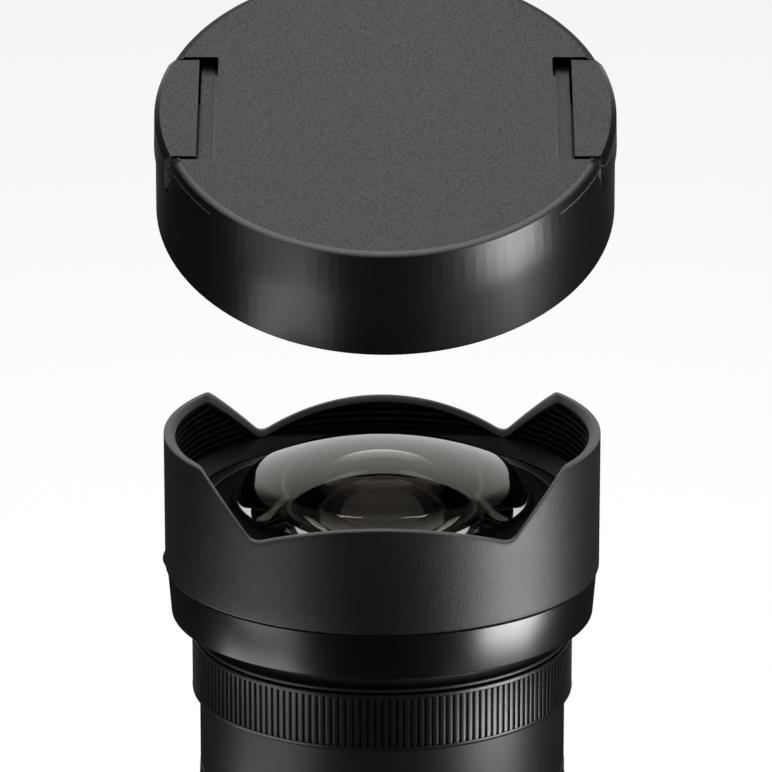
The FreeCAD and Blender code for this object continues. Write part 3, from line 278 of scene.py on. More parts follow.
def softened(corners, steps=5):
    """Profile through (radius, height, rounding) corners. Each corner C is cut back by its rounding on both
    sides to A and B and bridged by (1 - t)^2 A + 2 t (1 - t) C + t^2 B."""
    corners = np.array([tuple(corner) + (0.0,) * (3 - len(corner)) for corner in corners])
    place, cut = corners[:, :2], corners[:, 2:]
    before, after = np.roll(place, 1, 0) - place, np.roll(place, -1, 0) - place
    start = place + before / np.linalg.norm(before, axis=1, keepdims=True) * cut
    end = place + after / np.linalg.norm(after, axis=1, keepdims=True) * cut
    t = np.linspace(0, 1, steps)[None, :, None]
    path = (1 - t) ** 2 * start[:, None] + 2 * t * (1 - t) * place[:, None] + t ** 2 * end[:, None]
    return path.reshape(-1, 2)


fair_copy("main_barrel", barrel_paint, "barrel", shaped=necked)
turns = np.linspace(0, 2 * np.pi, 360, endpoint=False)[None, :]
cove_inside, cove_lip, cove_radius, cove_reach, cove_top = 36.2, 38.0, 36.6, 40.9, 79.47
cove_rows = softened([(cove_inside, collar_bottom), (cove_lip, collar_bottom, 0.2), (cove_lip, 76.2, 0.2),
                      (cove_radius, 76.7, 1.2), (cove_radius, cove_top, 1.4), (cove_reach, cove_top, 0.1),
                      (cove_reach, 79.8), (cove_inside, 79.8)], 7)
surface("focus_bearing_cove", round_axis(cove_rows[:, :1], cove_rows[:, 1:], turns), barrel_paint, "barrel")


# Front cell, mask, guide barrel, cam barrel and glass holders: aluminium tubes, turned, milled and black anodised.
# The mask round the front glass is lacquered as well, and its steep inner edge hides the glass's ground rim.

# Black anodised aluminium: anodising keeps the lathe's rings, so they glint as fine lines round each tube.
anodised = lathe_turned("black_anodised_aluminium", "#121214", "#1e1e21", 0.4, 0.12, 0.004)
fair_copy("front_cell", anodised, "front_group")
# Anti-reflection lacquer: the deepest black of all, with no gloss to speak of.
light_trap = grained("matt_anti_reflection_lacquer", "#050505", "#0b0b0b", 0.75, 0.3, 0.02, specular=0.08)
mask_bore, mask_outer, mask_bottom, mask_top = 29.05, 34.7, 99.05, 103.3
mask_rows = softened([(mask_bore, mask_bottom), (mask_outer, mask_bottom), (mask_outer, 102.3, 0.2),
                      (30.4, 102.35, 0.5), (29.6, mask_top, 0.2), (mask_bore, mask_top, 0.1)])
mask = surface("front_mask_surface", round_axis(mask_rows[:, :1], mask_rows[:, 1:], turns), light_trap,
               "front_group")
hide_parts("front_mask")
finish_nodes(["guide_barrel", "cam_barrel", "rear_cell", "variator_cell"], anodised)


# Zoom ring: a painted aluminium ring that carries a rubber grip and the focal lengths, engraved in front of the
# grip and filled with white enamel. The fitted sleeve of rubber is moulded with upright ribs.

def rib_share(turn, count, flat=0.44, flank=0.22):
    """Periodic rib: 1 over the flat of each crest, 0 in the root, and a smooth step t * t * (3 - 2 t) between."""
    phase = np.abs((turn * count / (2 * np.pi)) % 1.0 - 0.5)
    t = np.clip((flat / 2 + flank - phase) / flank, 0, 1)
    return t * t * (3 - 2 * t)


def ribbed_ring(name, profile, on_rib, root_depth, count, material, body):
    """Ring of revolution, 12 points to a rib, whose radius falls by root_depth * (1 - rib) in the rows that
    on_rib marks."""
    turn = np.linspace(0, 2 * np.pi, count * 12, endpoint=False)
    cut = root_depth * on_rib[:, None] * (1 - rib_share(turn, count))[None, :]
    return surface(name, round_axis(profile[:, :1] - cut, profile[:, 1:], turn[None, :]), material, body,
                   sharp=50.0)


def engraved(name, words, size, angle, height, radius, depth, material, body):
    """Text wrapped on the barrel: x becomes the angle x / radius about the axis, y the height, and the letters'
    backs lie a depth below the surface, as engraved and filled figures do."""
    curve = bpy.data.curves.new(name, "FONT")
    curve.body = words
    curve.size = size
    curve.align_x = "CENTER"
    curve.align_y = "CENTER"
    curve.extrude = depth / 2
    holder = bpy.data.objects.new(name + "_curve", curve)
    bpy.context.scene.collection.objects.link(holder)
    bpy.context.view_layer.update()
    mesh = bpy.data.meshes.new_from_object(holder.evaluated_get(bpy.context.evaluated_depsgraph_get()))
    bpy.data.objects.remove(holder)
    bpy.data.curves.remove(curve)
    mesh.name = name
    x, y, z = points_of(mesh).T / 1000
    put_points(mesh, round_axis(radius + z, height + y, math.radians(angle) + x / radius))
    return add_piece(name, mesh, material, body)


fair_copy("zoom_ring", barrel_paint, "zoom_ring")
# Grip rubber: duller and a shade greyer than the paint, so the ribs read as soft.
rubber = grained("ribbed_grip_rubber", "#131314", "#1d1d1e", 0.62, 0.35, 0.02, specular=0.3)
grip_bore, grip_radius, grip_bottom, grip_top, grip_bevel = 36.15, 37.4, 22.5, 42.9, 0.2
grip_profile = np.array([(grip_bore, grip_bottom), (grip_radius - grip_bevel, grip_bottom),
                         (grip_radius, grip_bottom + grip_bevel), (grip_radius, 28.0), (grip_radius, 33.0),
                         (grip_radius, 38.0), (grip_radius, grip_top - grip_bevel),
                         (grip_radius - grip_bevel, grip_top), (grip_bore, grip_top)])
on_grip = np.array([0, 1, 1, 1, 1, 1, 1, 1, 0])
grip = ribbed_ring("zoom_grip_ribs", grip_profile, on_grip, 0.6, 96, rubber, "zoom_ring")
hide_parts("zoom_grip")

widest_focal, turn_per_doubling = 12, 60.0
figure_size, figure_height, figure_radius, figure_depth = 2.3, 45.2, 36.93, 0.1
for focal in (12, 14, 16, 18, 20, 24):
    turn_there = turn_per_doubling * math.log2(focal / widest_focal)
    engraved("focal_length_%d" % focal, str(focal), figure_size, camera_top - turn_there, figure_height,
             figure_radius, figure_depth, white_enamel, "zoom_ring")


# Sleeve over the switches, with the index line for the focal lengths, a round button and a ridged slider. The
# button and the slider are moulded in a slightly glossier black plastic than the paint round them.

def patch(name, angles, heights, radius, material, body):
    """Thin raised patch on the barrel over a span of angles and heights, 0.04 mm proud and closed at its edge."""
    turn = np.radians(np.linspace(*angles, 8))
    rows_at = np.array([(radius - 0.1, heights[0]), (radius + 0.04, heights[0]), (radius + 0.04, heights[1]),
                        (radius - 0.1, heights[1])])
    return surface(name, round_axis(rows_at[:, :1], rows_at[:, 1:], turn[None, :]), material, body,
                   wrap=(True, False))


fair_copy("control_cover", barrel_paint, "barrel")
control_radius = 36.8
patch("focal_index_line", (camera_top - 0.4, camera_top + 0.4), (48.35, 50.35), control_radius, white_enamel,
      "barrel")
# Polished plastic: a small clear glint on each key.
gloss_plastic = grained("polished_black_plastic", "#0e0e0f", "#151516", 0.22, 0.5, 0.004, specular=0.4)
fair_copy("hold_button", gloss_plastic, "hold_button")
fair_copy("mode_switch", gloss_plastic, "mode_switch")
# Solder mask: dark green, with the slight waves of the copper under it.
board_green = grained("solder_masked_board", "#0f3a22", "#174a2c", 0.35, 1.2, 0.01, specular=0.4)
finish_nodes(["control_board", "circuit_board", "focus_sensor"], board_green)


# Focus ring: machined aluminium with 168 fine upright ribs between two plain lips. It turns on the main barrel,
# just below the cove, and carries the steel comb that the sensor reads.

# Satin paint on machined ribs: black, with a thin glint along each rib's edge.
ring_paint = grained("satin_paint_on_machined_ribs", "#0c0c0d", "#131314", 0.34, 0.3, 0.006, specular=0.45)
ring_bore, ring_lip, ring_crest, ring_bottom, ring_top = 36.3, 38.3, 38.25, 63.3, 75.2
ribs_from, ribs_to = 64.24, 74.26
ring_rows = softened([(ring_bore, ring_bottom), (ring_lip, ring_bottom, 0.45), (ring_lip, 64.2, 0.06),
                      (ring_crest, ribs_from, 0.03), (ring_crest, ribs_to, 0.03), (ring_lip, 74.3, 0.06),
                      (ring_lip, ring_top, 0.3), (ring_bore, ring_top)], 4)
radius, height = ring_rows.T
on_rib = ((height > ribs_from - 0.03) & (height < ribs_to + 0.03) & (radius > 37.2)).astype(float)
ring = ribbed_ring("focus_ring_ribs", ring_rows, on_rib, 0.5, 168, ring_paint, "focus_ring")
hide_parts("focus_ring")
finish_nodes(["focus_comb"], steel)


# Smooth band under the hood: a turned aluminium ring, wider towards the front, pushed over the hood's screws to
# hide them.

# Satin-gloss enamel: a smooth black coat that mirrors the lamps as two upright streaks.
band_paint = grained("satin_gloss_enamel_on_aluminium", "#050505", "#080808", 0.28, 0.35, 0.0012, specular=0.5)
band_bore, band_foot, band_head, band_bottom, band_top = 40.75, 42.3, 43.05, 79.97, 89.2
band_rows = softened([(band_bore, band_bottom), (band_foot, band_bottom, 0.25), (band_head, band_top, 0.25),
                      (band_bore, band_top)])
band = surface("trim_band_surface", round_axis(band_rows[:, :1], band_rows[:, 1:], turns), band_paint, "barrel")
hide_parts("trim_band")


# Petal hood: one piece moulded in black plastic, held by three screws on the barrel's spigot. Inside each petal
# the wall has sharp ribs that kill reflections, and at the long ones' tips a groove that the cap's hook catches.

seam, tip = 89.4, 117.4
hood_outer, hood_inner, hood_bore, spigot_bore, socket_bore = 43.5, 41.2, 38.0, 39.4, 40.75
ledge_top, ledge_bottom, sleeve_low, socket_top = 104.8, 102.4, 82.4, 98.57
crown_top, crown_curve = 110.9, 60.0
flank_slope, flank_top, notch_rounding, tip_softness = 1.1504, 35.4, 2.2, 0.43
foot_rounding, rim_rounding, chamfer_depth = 0.5, 0.35, 0.94
hook_low, hook_high, hook_margin = 114.6, 116.0, 1.4
rib_first, rib_count, rib_pitch, rib_opening, rib_depth, rib_margin = 105.1, 7, 1.35, 1.1, 0.9, 1.3


def petal_edge(x, margin=0.0):
    """Height of the hood's edge over x, less a margin square to it: the higher of an arc, crown_top - R +
    sqrt(R^2 - x^2), and a straight flank that climbs to the tip, with a fillet in the notch where they meet, and
    cut off flat at the tip. The corner there is softened by (a + b - sqrt((a - b)^2 + k^2)) / 2. A few steps
    along the tangents find the notch."""
    across = np.abs(x)
    curve = crown_curve - margin

    def arc(at):
        return crown_top - crown_curve + np.sqrt(np.maximum(curve ** 2 - at ** 2, 0))

    def flank(at):
        return tip + flank_slope * (at - flank_top) - margin * math.hypot(1, flank_slope)

    notch = 26.0
    for _ in range(6):
        fall = -notch / math.sqrt(curve ** 2 - notch ** 2)
        notch -= (arc(notch) - flank(notch)) / (fall - flank_slope)
    arc_steep, flank_steep = math.hypot(1, fall), math.hypot(1, flank_slope)
    middle = notch + notch_rounding * (arc_steep - flank_steep) / (flank_slope - fall)
    level = arc(notch) + fall * (middle - notch) + notch_rounding * arc_steep
    start = middle + notch_rounding * fall / arc_steep
    end = middle + notch_rounding * flank_slope / flank_steep
    fillet = level - np.sqrt(np.maximum(notch_rounding ** 2 - (across - middle) ** 2, 0))
    low = np.where((across > start) & (across < end), fillet, np.maximum(arc(across), flank(across)))
    top = tip - margin
    return (low + top - np.sqrt((low - top) ** 2 + tip_softness ** 2)) / 2


def hood_points(turn):
    """Closed section of the hood at every angle, row by row up the outside, over the edge and down the ribs.
    A row above the edge there is laid on it, and its doubled points are merged afterwards."""
    across = np.cos(turn)[None, :]

    def level_row(r, z):
        return np.full_like(across, r), np.full_like(across, z)

    foot = softened([(socket_bore, seam), (hood_outer, seam, foot_rounding), (hood_outer, seam + 1.5),
                     (socket_bore, seam + 1.5)])[5:10]
    rows = [level_row(r, z) for r, z in foot]
    foot_end, rim_start = seam + foot_rounding, petal_edge(hood_outer * across) - rim_rounding
    for share in (0.2, 0.4, 0.6, 0.8, 0.95):
        rows.append((np.full_like(across, hood_outer), foot_end + (rim_start - foot_end) * share))
    for step in np.radians((0, 22.5, 45, 67.5, 90)):
        r = hood_outer - rim_rounding * (1 - math.cos(step))
        rows.append((np.full_like(across, r), petal_edge(r * across) - rim_rounding * (1 - math.sin(step))))
    for r, drop in ((42.65, 0.0), (42.3, 0.0), (42.2, 0.03), (hood_inner + 0.06, chamfer_depth),
                    (hood_inner, 1.05)):
        rows.append((np.full_like(across, r), petal_edge(r * across) - drop))
    rim = rows[-1][1]
    hook_groove = ((hook_high, 0), (hook_high, 1), (hook_low, 1), (hook_low, 0))
    grooves = [(hook_low, hook_high, hook_margin, hook_groove)]
    for low in [rib_first + rib_pitch * k for k in range(rib_count - 1, -1, -1)]:
        high = low + rib_opening
        grooves.append((low, high, rib_margin, ((high, 0), (low + 0.12, 1), (low, 0))))
    for low, high, margin, section in grooves:
        clear = np.clip((petal_edge(hood_inner * across, margin) - (low + high) / 2) / 0.5, 0, 1)
        for height, depth in section:
            rows.append((hood_inner + rib_depth * depth * clear * (rim > height), np.minimum(height, rim)))
    for r, z in ((hood_inner, ledge_top), (hood_bore, ledge_bottom), (hood_bore, sleeve_low),
                 (spigot_bore, sleeve_low), (spigot_bore, socket_top), (socket_bore, socket_top),
                 (socket_bore, seam)):
        rows.append(level_row(r, z))
    radius = np.concatenate([row[0] for row in rows])
    height = np.concatenate([row[1] for row in rows])
    return round_axis(radius, height, turn[None, :])


def wear_on_hood(points):
    """Weight of a painted highlight: 1 on the rim between its outer rounding and the foot of its chamfer, 0.9 on
    the ribs' crests, which fade out within 0.5 mm of where the ribs end, and 0 elsewhere."""
    x, y, z = points.T
    radius = np.hypot(x, y)
    on_rim = ((z > petal_edge(x) - chamfer_depth - 0.04) & (radius > hood_inner + 0.03)
              & (radius < hood_outer - 0.02))
    ribbed = np.clip((petal_edge(x, rib_margin) - z - 0.2) / 0.5, 0, 1)
    on_crest = (z > ledge_top + 0.2) & (np.abs(radius - hood_inner) < 0.03)
    return np.maximum(on_rim, ribbed * on_crest * 0.9)


def paler_where_worn(material, pale):
    """Paints a highlight: fades a material's colour to a paler one by the cube of the points' highlight attribute.
    """
    tree = material.node_tree
    shader = tree.nodes["Principled BSDF"]
    colour = shader.inputs["Base Color"].links[0].from_node
    painted_lit = add_node(tree, "ShaderNodeAttribute", {"attribute_name": "painted_lit"})
    share = add_node(tree, "ShaderNodeMath", {"operation": "POWER", 1: 3.0}, [(0, painted_lit, "Fac")])
    mixed = add_node(tree, "ShaderNodeMix", {"data_type": "RGBA", 7: linear(pale)}, [(0, share, 0), (6, colour, 2)])
    tree.links.new(mixed.outputs[2], shader.inputs["Base Color"])


# Crinkle paint: black with a fine sparkle. Along the rim and the ribs' crests it is painted a paler grey, a painted
# highlight for light that the lamps don't give there.
crinkle_paint = grained("crinkle_paint_on_moulded_plastic", "#030304", "#0e0e0f", 0.46, 0.34, 0.06, specular=0.5)
paler_where_worn(crinkle_paint, "#58585b")
hood = surface("petal_hood_surface", hood_points(np.linspace(0, 2 * np.pi, 960, endpoint=False)), crinkle_paint,
               "barrel", sharp=28.0)
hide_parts("petal_hood")
# The hood's points carry the weight of the painted highlight that the paint above reads.
painted_lit = hood.data.attributes.new("painted_lit", "FLOAT", "POINT")
painted_lit.data.foreach_set("value", wear_on_hood(points_of(hood.data)).astype(np.float32))
bump_radius, bump_reach, bump_angle, bump_height, bump_crown = 1.7, 43.4, 184, 91.2, 0.6
surface("hood_index_bump", disc_facing_out(bump_radius, bump_reach, bump_angle, bump_height, bump_crown),
        crinkle_paint, "barrel", wrap=(False, True))


# Front elements: ground and polished glass with a vapour coating, held in the front cell. Their ground edges are
# lacquered black so that no light gets in there.

def coated_glass(name, tint, film_nm, index, mirrored, sheen):
    """Clear glass whose tint drifts, over some 33 mm, by a few parts in a hundred. Its coating leaves part of the
    mirroring of bare glass, in the colour of its sheen."""
    material, tree = start_material(name)
    place = add_node(tree, "ShaderNodeTexCoord")
    drift = add_node(tree, "ShaderNodeTexNoise", {"Scale": 30.0}, [("Vector", place, "Object")])
    colour = add_node(tree, "ShaderNodeMix", {"data_type": "RGBA", 6: linear(tint), 7: linear("#f4f6f4")},
                      [(0, drift, "Fac")])
    shader = add_node(tree, "ShaderNodeBsdfPrincipled",
                      {"Transmission Weight": 1.0, "Roughness": 0.0, "IOR": index, "Thin Film Thickness": film_nm,
                       "Thin Film IOR": 1.38, "Specular IOR Level": mirrored, "Specular Tint": linear(sheen)},
                      [("Base Color", colour, 2)])
    add_node(tree, "ShaderNodeOutputMaterial", (), [("Surface", shader, "BSDF")])
    return material


def lens_points(rim, front, back, back_rim, turn, shoulder=0.0):
    """Section of a lens from the axis along its back, up its ground edge and over its front: each polished side
    is apex - (R - sqrt(R^2 - r^2)) with the sign of R, and R of 0 is flat. A shoulder is an arc that leaves the
    edge upright at (rim - s + s cos t, h + s sin t) and runs smoothly into the front."""
    def side(apex, curve, r):
        return apex - (curve - math.copysign(1, curve) * np.sqrt(curve ** 2 - r ** 2)) if curve else apex + 0 * r

    r_back = np.linspace(0, back_rim, 40)
    back_heights = side(*back, r_back)
    joint, arc = rim, np.zeros((2, 0))
    if shoulder:
        apex, curve = front
        middle = rim - shoulder
        level = apex - curve + math.sqrt((curve - shoulder) ** 2 - middle ** 2)
        joint = middle * curve / (curve - shoulder)
        t = np.linspace(0, math.acos((joint - middle) / shoulder), 20)[:-1]
        arc = np.array([middle + shoulder * np.cos(t), level + shoulder * np.sin(t)])
    r_front = np.linspace(joint, 0, 56)
    radius = np.concatenate([r_back, [rim], arc[0], r_front])
    height = np.concatenate([back_heights, [back_heights[-1]], arc[1], side(*front, r_front)])
    return round_axis(radius[:, None], height[:, None], turn)


def blacken_edge(mesh, black):
    """Gives a second material to a lens's ground faces: those of its edge, which look straight outwards within
    0.1 mm of the widest radius, and those that look straight back outside 0.7 of it."""
    mesh.materials.append(black)
    middles = np.zeros(len(mesh.polygons) * 3, np.float32)
    normals = np.zeros(len(mesh.polygons) * 3, np.float32)
    mesh.polygons.foreach_get("center", middles)
    mesh.polygons.foreach_get("normal", normals)
    middles, facing_up = middles.reshape(-1, 3), normals.reshape(-1, 3)[:, 2]
    radius = np.hypot(middles[:, 0], middles[:, 1]) * 1000
    on_edge = (np.abs(facing_up) < 0.02) & (radius > radius.max() - 0.1)
    on_flat = (facing_up < -0.999) & (radius > radius.max() * 0.7)
    mesh.polygons.foreach_set("material_index", (on_edge | on_flat).astype(np.int32))


# Coated glass: clear and dark, with a faint olive sheen on the front and a violet one inside.
front_coating = coated_glass("front_element_glass", "#c6cac2", 0.0, 1.58, 0.22, "#e6e6cc")
inner_coating = coated_glass("inner_element_glass", "#e6e2ee", 105.0, 1.6, 0.3, "#ffffff")
# Edge lacquer: a flat black ring under the glass.
edge_black = grained("black_edge_lacquer_on_ground_glass", "#040404", "#080808", 0.7, 0.3, 0.01, specular=0.1)
lens_turns = np.linspace(0, 2 * np.pi, 192, endpoint=False)[None, :]
inner_seat = 97.18
front_points = lens_points(29.0, (113.55, 65.0), (110.55, 23.85), 21.4, lens_turns, shoulder=6.5)
second_points = lens_points(20.5, (inner_seat + 3.5, 45.0), (inner_seat + 1.7, 22.5), 15.5, lens_turns)
third_points = lens_points(14.5, (inner_seat - 5.6, 38.0), (inner_seat - 10.5, 0), 14.5, lens_turns)
for part, coat, points in (("front_element", front_coating, front_points),
                           ("second_element", inner_coating, second_points),
                           ("third_element", inner_coating, third_points)):
    glass = surface(part + "_polished", points, coat, "front_group", wrap=(False, True))
    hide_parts(part)
    blacken_edge(glass.data, edge_black)
finish_nodes(["variator_front_element", "variator_rear_element", "relay_element", "rear_element", "focus_element"],
             inner_coating)


# Iris and focus motor: blades stamped from thin steel and blackened, a drive ring, and a coil of enamelled copper
# wire that runs over a magnet on a steel yoke.

# Blackened spring steel: a dark grey with a faint cold gloss.
black_steel = lathe_turned("blackened_spring_steel", "#17181b", "#232427", 0.35, 0.2, 0.002, Metallic=0.6)
finish_nodes(["iris_blade_%d" % k for k in range(1, 8)] + ["iris_drive_ring", "motor_yoke"], black_steel)
# Nickel plate: a bright, slightly yellow grey.
magnet = lathe_turned("nickel_plated_magnet", "#9a9a98", "#b6b5b1", 0.3, 0.4, 0.003, Metallic=1.0)
finish_nodes(["motor_magnet"], magnet)
# Enamelled wire: reddish rings, a wire apart, under a clear varnish.
copper = lathe_turned("enamelled_copper_wire", "#7a3b1e", "#b5673a", 0.3, 0.25, 0.05, Metallic=0.9)
finish_nodes(["focus_coil"], copper)


# Cap: moulded in black plastic, with a shell that slips over the hood and two sprung pads whose hooks catch its
# grooves. It hangs as photographed: the solid is tapered, bevelled, and set 1.1 mm lower and 0.1 degree flatter.

solid_tilt, solid_place = 24.7, np.array([0.65, 20.2, 159.5])
cap_tilt, cap_place = 24.6, np.array([0.65, 20.07, 158.43])
# Its third number is where a painted shadow, 0.7 mm wide along each pocket's inner wall, ends on the floor.
cap_face, pocket_floor, painted_shade_edge = 24.65, 22.05, 33.96
opening_half, sill_low, sill_high, pocket_half, pocket_low = 15.2, 15.2, 16.45, 17, 18.1
wall_cuts = (4, 8, 11.5, 13.3, 15, 16.7, 18.5, 20.2)
wall_heights = (0, 11.5, 13.3, 15, 16.7, 18.5, 24.1, 24.65)
wall_radii = (45.9, 45.67, 45.62, 45.53, 45.4, 45.25, 44.7, 43.15)


def cap_finish(name, face_dark, face_light, wall_dark, wall_light):
    """In the cap's own frame, turned back by its tilt: the face, and the pocket floors below it, are grained, and
    the rest is polished. A strip 0.7 mm wide on each floor, along the pocket's inner wall, keeps the polished
    wall's black as a painted shadow. The grain's noise gives colour and height in both, weaker on the wall."""
    material, tree = start_material(name)
    place = add_node(tree, "ShaderNodeTexCoord")
    tilt = math.radians(cap_tilt)
    x, y, z = cap_place / 1000
    back = (-x, -(y * math.cos(tilt) + z * math.sin(tilt)), y * math.sin(tilt) - z * math.cos(tilt))
    own = add_node(tree, "ShaderNodeMapping", {"Location": back, "Rotation": (-tilt, 0, 0)},
                   [("Vector", place, "Object")])
    split = add_node(tree, "ShaderNodeSeparateXYZ", (), [(0, own, "Vector")])
    top = add_node(tree, "ShaderNodeMath", {"operation": "GREATER_THAN", 1: (cap_face - 0.09) / 1000},
                   [(0, split, "Z")])
    at_floor = add_node(tree, "ShaderNodeMath", {"operation": "COMPARE", 1: pocket_floor / 1000, 2: 0.0002},
                        [(0, split, "Z")])
    # Only the floor beyond the edge below is grained; the strip nearer the axis keeps the wall's black, a painted
    # shadow along the pocket's inner wall.
    off_axis = add_node(tree, "ShaderNodeMath", {"operation": "ABSOLUTE"}, [(0, split, "X")])
    clear_of_painted_shade = add_node(tree, "ShaderNodeMath", {"operation": "GREATER_THAN", 1: painted_shade_edge / 1000},
                         [(0, off_axis, 0)])
    bottom = add_node(tree, "ShaderNodeMath", {"operation": "MULTIPLY"}, [(0, at_floor, 0), (1, clear_of_painted_shade, 0)])
    on_face = add_node(tree, "ShaderNodeMath", {"operation": "MAXIMUM"}, [(0, top, 0), (1, bottom, 0)])
    grain = add_node(tree, "ShaderNodeTexNoise", {"Scale": 1000 / 0.38, "Detail": 3.0, "Roughness": 0.6},
                     [("Vector", place, "Object")])
    share = add_node(tree, "ShaderNodeMapRange", {"From Min": 0.41, "From Max": 0.6}, [("Value", grain, "Fac")])
    face = add_node(tree, "ShaderNodeMix", {"data_type": "RGBA", 6: linear(face_dark), 7: linear(face_light)},
                    [(0, share, "Result")])
    wall = add_node(tree, "ShaderNodeMix", {"data_type": "RGBA", 6: linear(wall_dark), 7: linear(wall_light)},
                    [(0, share, "Result")])
    colour = add_node(tree, "ShaderNodeMix", {"data_type": "RGBA"}, [(0, on_face, 0), (6, wall, 2), (7, face, 2)])
    rough = add_node(tree, "ShaderNodeMapRange", {"To Min": 0.3, "To Max": 0.55}, [("Value", on_face, 0)])
    height = add_node(tree, "ShaderNodeMapRange", {"To Min": 0.000006, "To Max": 0.00005}, [("Value", on_face, 0)])
    bump = add_node(tree, "ShaderNodeBump", (), [("Height", grain, "Fac"), ("Distance", height, "Result")])
    shader = add_node(tree, "ShaderNodeBsdfPrincipled", {"Specular IOR Level": 0.3},
                      [("Base Color", colour, 2), ("Roughness", rough, "Result"), ("Normal", bump, "Normal")])
    add_node(tree, "ShaderNodeOutputMaterial", (), [("Surface", shader, "BSDF")])
    return material


def tipped(degrees):
    """Matrix of a turn about X: y becomes y cos t - z sin t, and z becomes y sin t + z cos t."""
    c, s = math.cos(math.radians(degrees)), math.sin(math.radians(degrees))
    return np.array([[1, 0, 0], [0, c, -s], [0, s, c]])


def crossed(mesh, heights):
    """Cuts the mesh's faces where they cross planes square to the cap's axis, at heights above the rim."""
    shape = bmesh.new()
    shape.from_mesh(mesh)
    bmesh.ops.remove_doubles(shape, verts=shape.verts, dist=2e-6)
    axis = tipped(solid_tilt) @ np.array([0, 0, 1])
    for height in heights:
        bmesh.ops.bisect_plane(shape, geom=shape.verts[:] + shape.edges[:] + shape.faces[:], dist=1e-6,
                               plane_co=(solid_place + axis * height) / 1000, plane_no=axis)
    shape.to_mesh(mesh)
    shape.free()


def tapered(mesh, solid_wall, heights, walls, chords, sill, side_shift):
    """Moulding draft and bevel: the outer wall's radius goes from a straight one to the tapered one of that
    height, and heights, pocket walls and the openings' ends each follow a piecewise line from the solid's place.
    The edge under each opening is laid at one height, the sill."""
    crossed(mesh, wall_cuts)
    x, y, z = ((points_of(mesh) - solid_place) @ tipped(solid_tilt)).T
    radius, wall = np.hypot(x, y), np.interp(z, *solid_wall)
    outside = radius > wall - 0.35
    inside = (np.abs(y) < pocket_half) & (z > pocket_low) & ~outside
    on_sill = outside & (np.abs(y) < opening_half) & (z > sill_low) & (z < sill_high)
    z_new = np.where(on_sill, sill, np.interp(z, *heights))
    x_new = np.where(inside, np.sign(x) * np.interp(np.abs(x), *chords), x)
    spread = side_shift * np.interp(np.abs(y), (13.5, 14.4, 16.4, 24), (0, 1, 1, 0))
    near_end = (np.abs(x) > 30) & (z > 15.25)
    y_new = np.where(near_end, np.sign(y) * (np.abs(y) + spread), y)
    true_radius = np.where((np.abs(radius - wall) < 0.12) & (z > 0.4), wall, radius)
    taper = true_radius / np.maximum(np.hypot(x, y_new), 1) * np.interp(z_new, *walls) / wall
    scale = np.where(outside, taper, 1.0)
    own = np.stack([x_new * scale, y_new * scale, z_new], -1)
    put_points(mesh, own @ tipped(cap_tilt).T + cap_place)


def shell_shape(mesh):
    """The shell's wall leans in from 45.9 mm at the rim to 44.7 mm under a low bevel round the face."""
    tapered(mesh, ((0, 22.9, 24.2), (45.8, 45.8, 44.5)),
            ((0, 18, 21.7, 22.4, 22.9, 24.2), (0, 18, pocket_floor, 22.85, 24.1, cap_face)),
            (wall_heights, wall_radii),
            ((30, 33.4, 34.6, 37.9, 42, 50), (30, 32.06, 33.26, 36.66, 42, 50)), 16.0, 0.85)


def pad_shape(mesh):
    """The pads lean in less than the wall and so stand proud at the top, where a bevel of 1.1 mm ends them."""
    tapered(mesh, ((0, 22.9, 24.2), (46.1, 46.1, 44.8)),
            ((0, 18, 22.0, 22.9, 24.2), (0, 18, 22.35, 23.55, cap_face)),
            ((0, 16.5, 23.55, cap_face), (45.9, 45.9, 45.65, 44.55)),
            ((30, 38.2, 41.5, 44, 50), (30, 37.06, 40.36, 44, 50)), 16.5, 0.2)


# Cap plastic: the face and pads have a coarse spark-eroded grain that looks dark grey, and the wall and the bevel
# came out of a polished mould, so they are blacker and shine.
cap_plastic = cap_finish("grained_and_polished_cap_plastic", "#1f1f21", "#48484b", "#09090a", "#101011")
fair_copy("cap_shell", cap_plastic, "front_cap", shaped=shell_shape)
for side in ("right", "left"):
    fair_copy("pinch_tab_" + side, cap_plastic, "pinch_tab_" + side, shaped=pad_shape)


# Studio: a pale paper sweep, seen as white. Flat lamps lie on it before the lens and shine up, which gives each
# wall its upright streaks, stronger on the right. A large lamp hangs over the cap, and the sides are dark.

def mirrored_and_seen(tree, kind, lit, backdrop, dim, seen_strength):
    """Mixes three looks: lit for diffuse rays, plain white for the camera, and for glossy and transmission rays
    a glow that runs from dim in front of the lens to white behind it."""
    path = add_node(tree, "ShaderNodeLightPath")
    bright = add_node(tree, "ShaderNodeMapRange", {"To Min": dim}, [("Value", backdrop, 0)])
    mirrored = add_node(tree, kind, {"Color": (1, 1, 1, 1)}, [("Strength", bright, 0)])
    gloss = add_node(tree, "ShaderNodeMath", {"operation": "MAXIMUM"},
                     [(0, path, "Is Glossy Ray"), (1, path, "Is Transmission Ray")])
    first = add_node(tree, "ShaderNodeMixShader", (), [(0, gloss, 0), (1, lit, 0), (2, mirrored, 0)])
    seen = add_node(tree, kind, {"Color": (1, 1, 1, 1), "Strength": seen_strength})
    return add_node(tree, "ShaderNodeMixShader", (), [(0, path, "Is Camera Ray"), (1, first, 0), (2, seen, 0)])


def softbox(name, place, tilt, turn, size, watts):
    """Rectangular lamp, which shines down when its tilt is 0 and up at 180, and is turned about the vertical.
    The camera doesn't see it, but gloss and glass do."""
    lamp = bpy.data.lights.new(name, "AREA")
    lamp.shape = "RECTANGLE"
    lamp.size, lamp.size_y = size
    lamp.energy = watts
    holder = bpy.data.objects.new(name, lamp)
    bpy.context.scene.collection.objects.link(holder)
    holder.location = place
    holder.rotation_euler = (math.radians(tilt), 0, math.radians(turn))
    holder.visible_camera = False


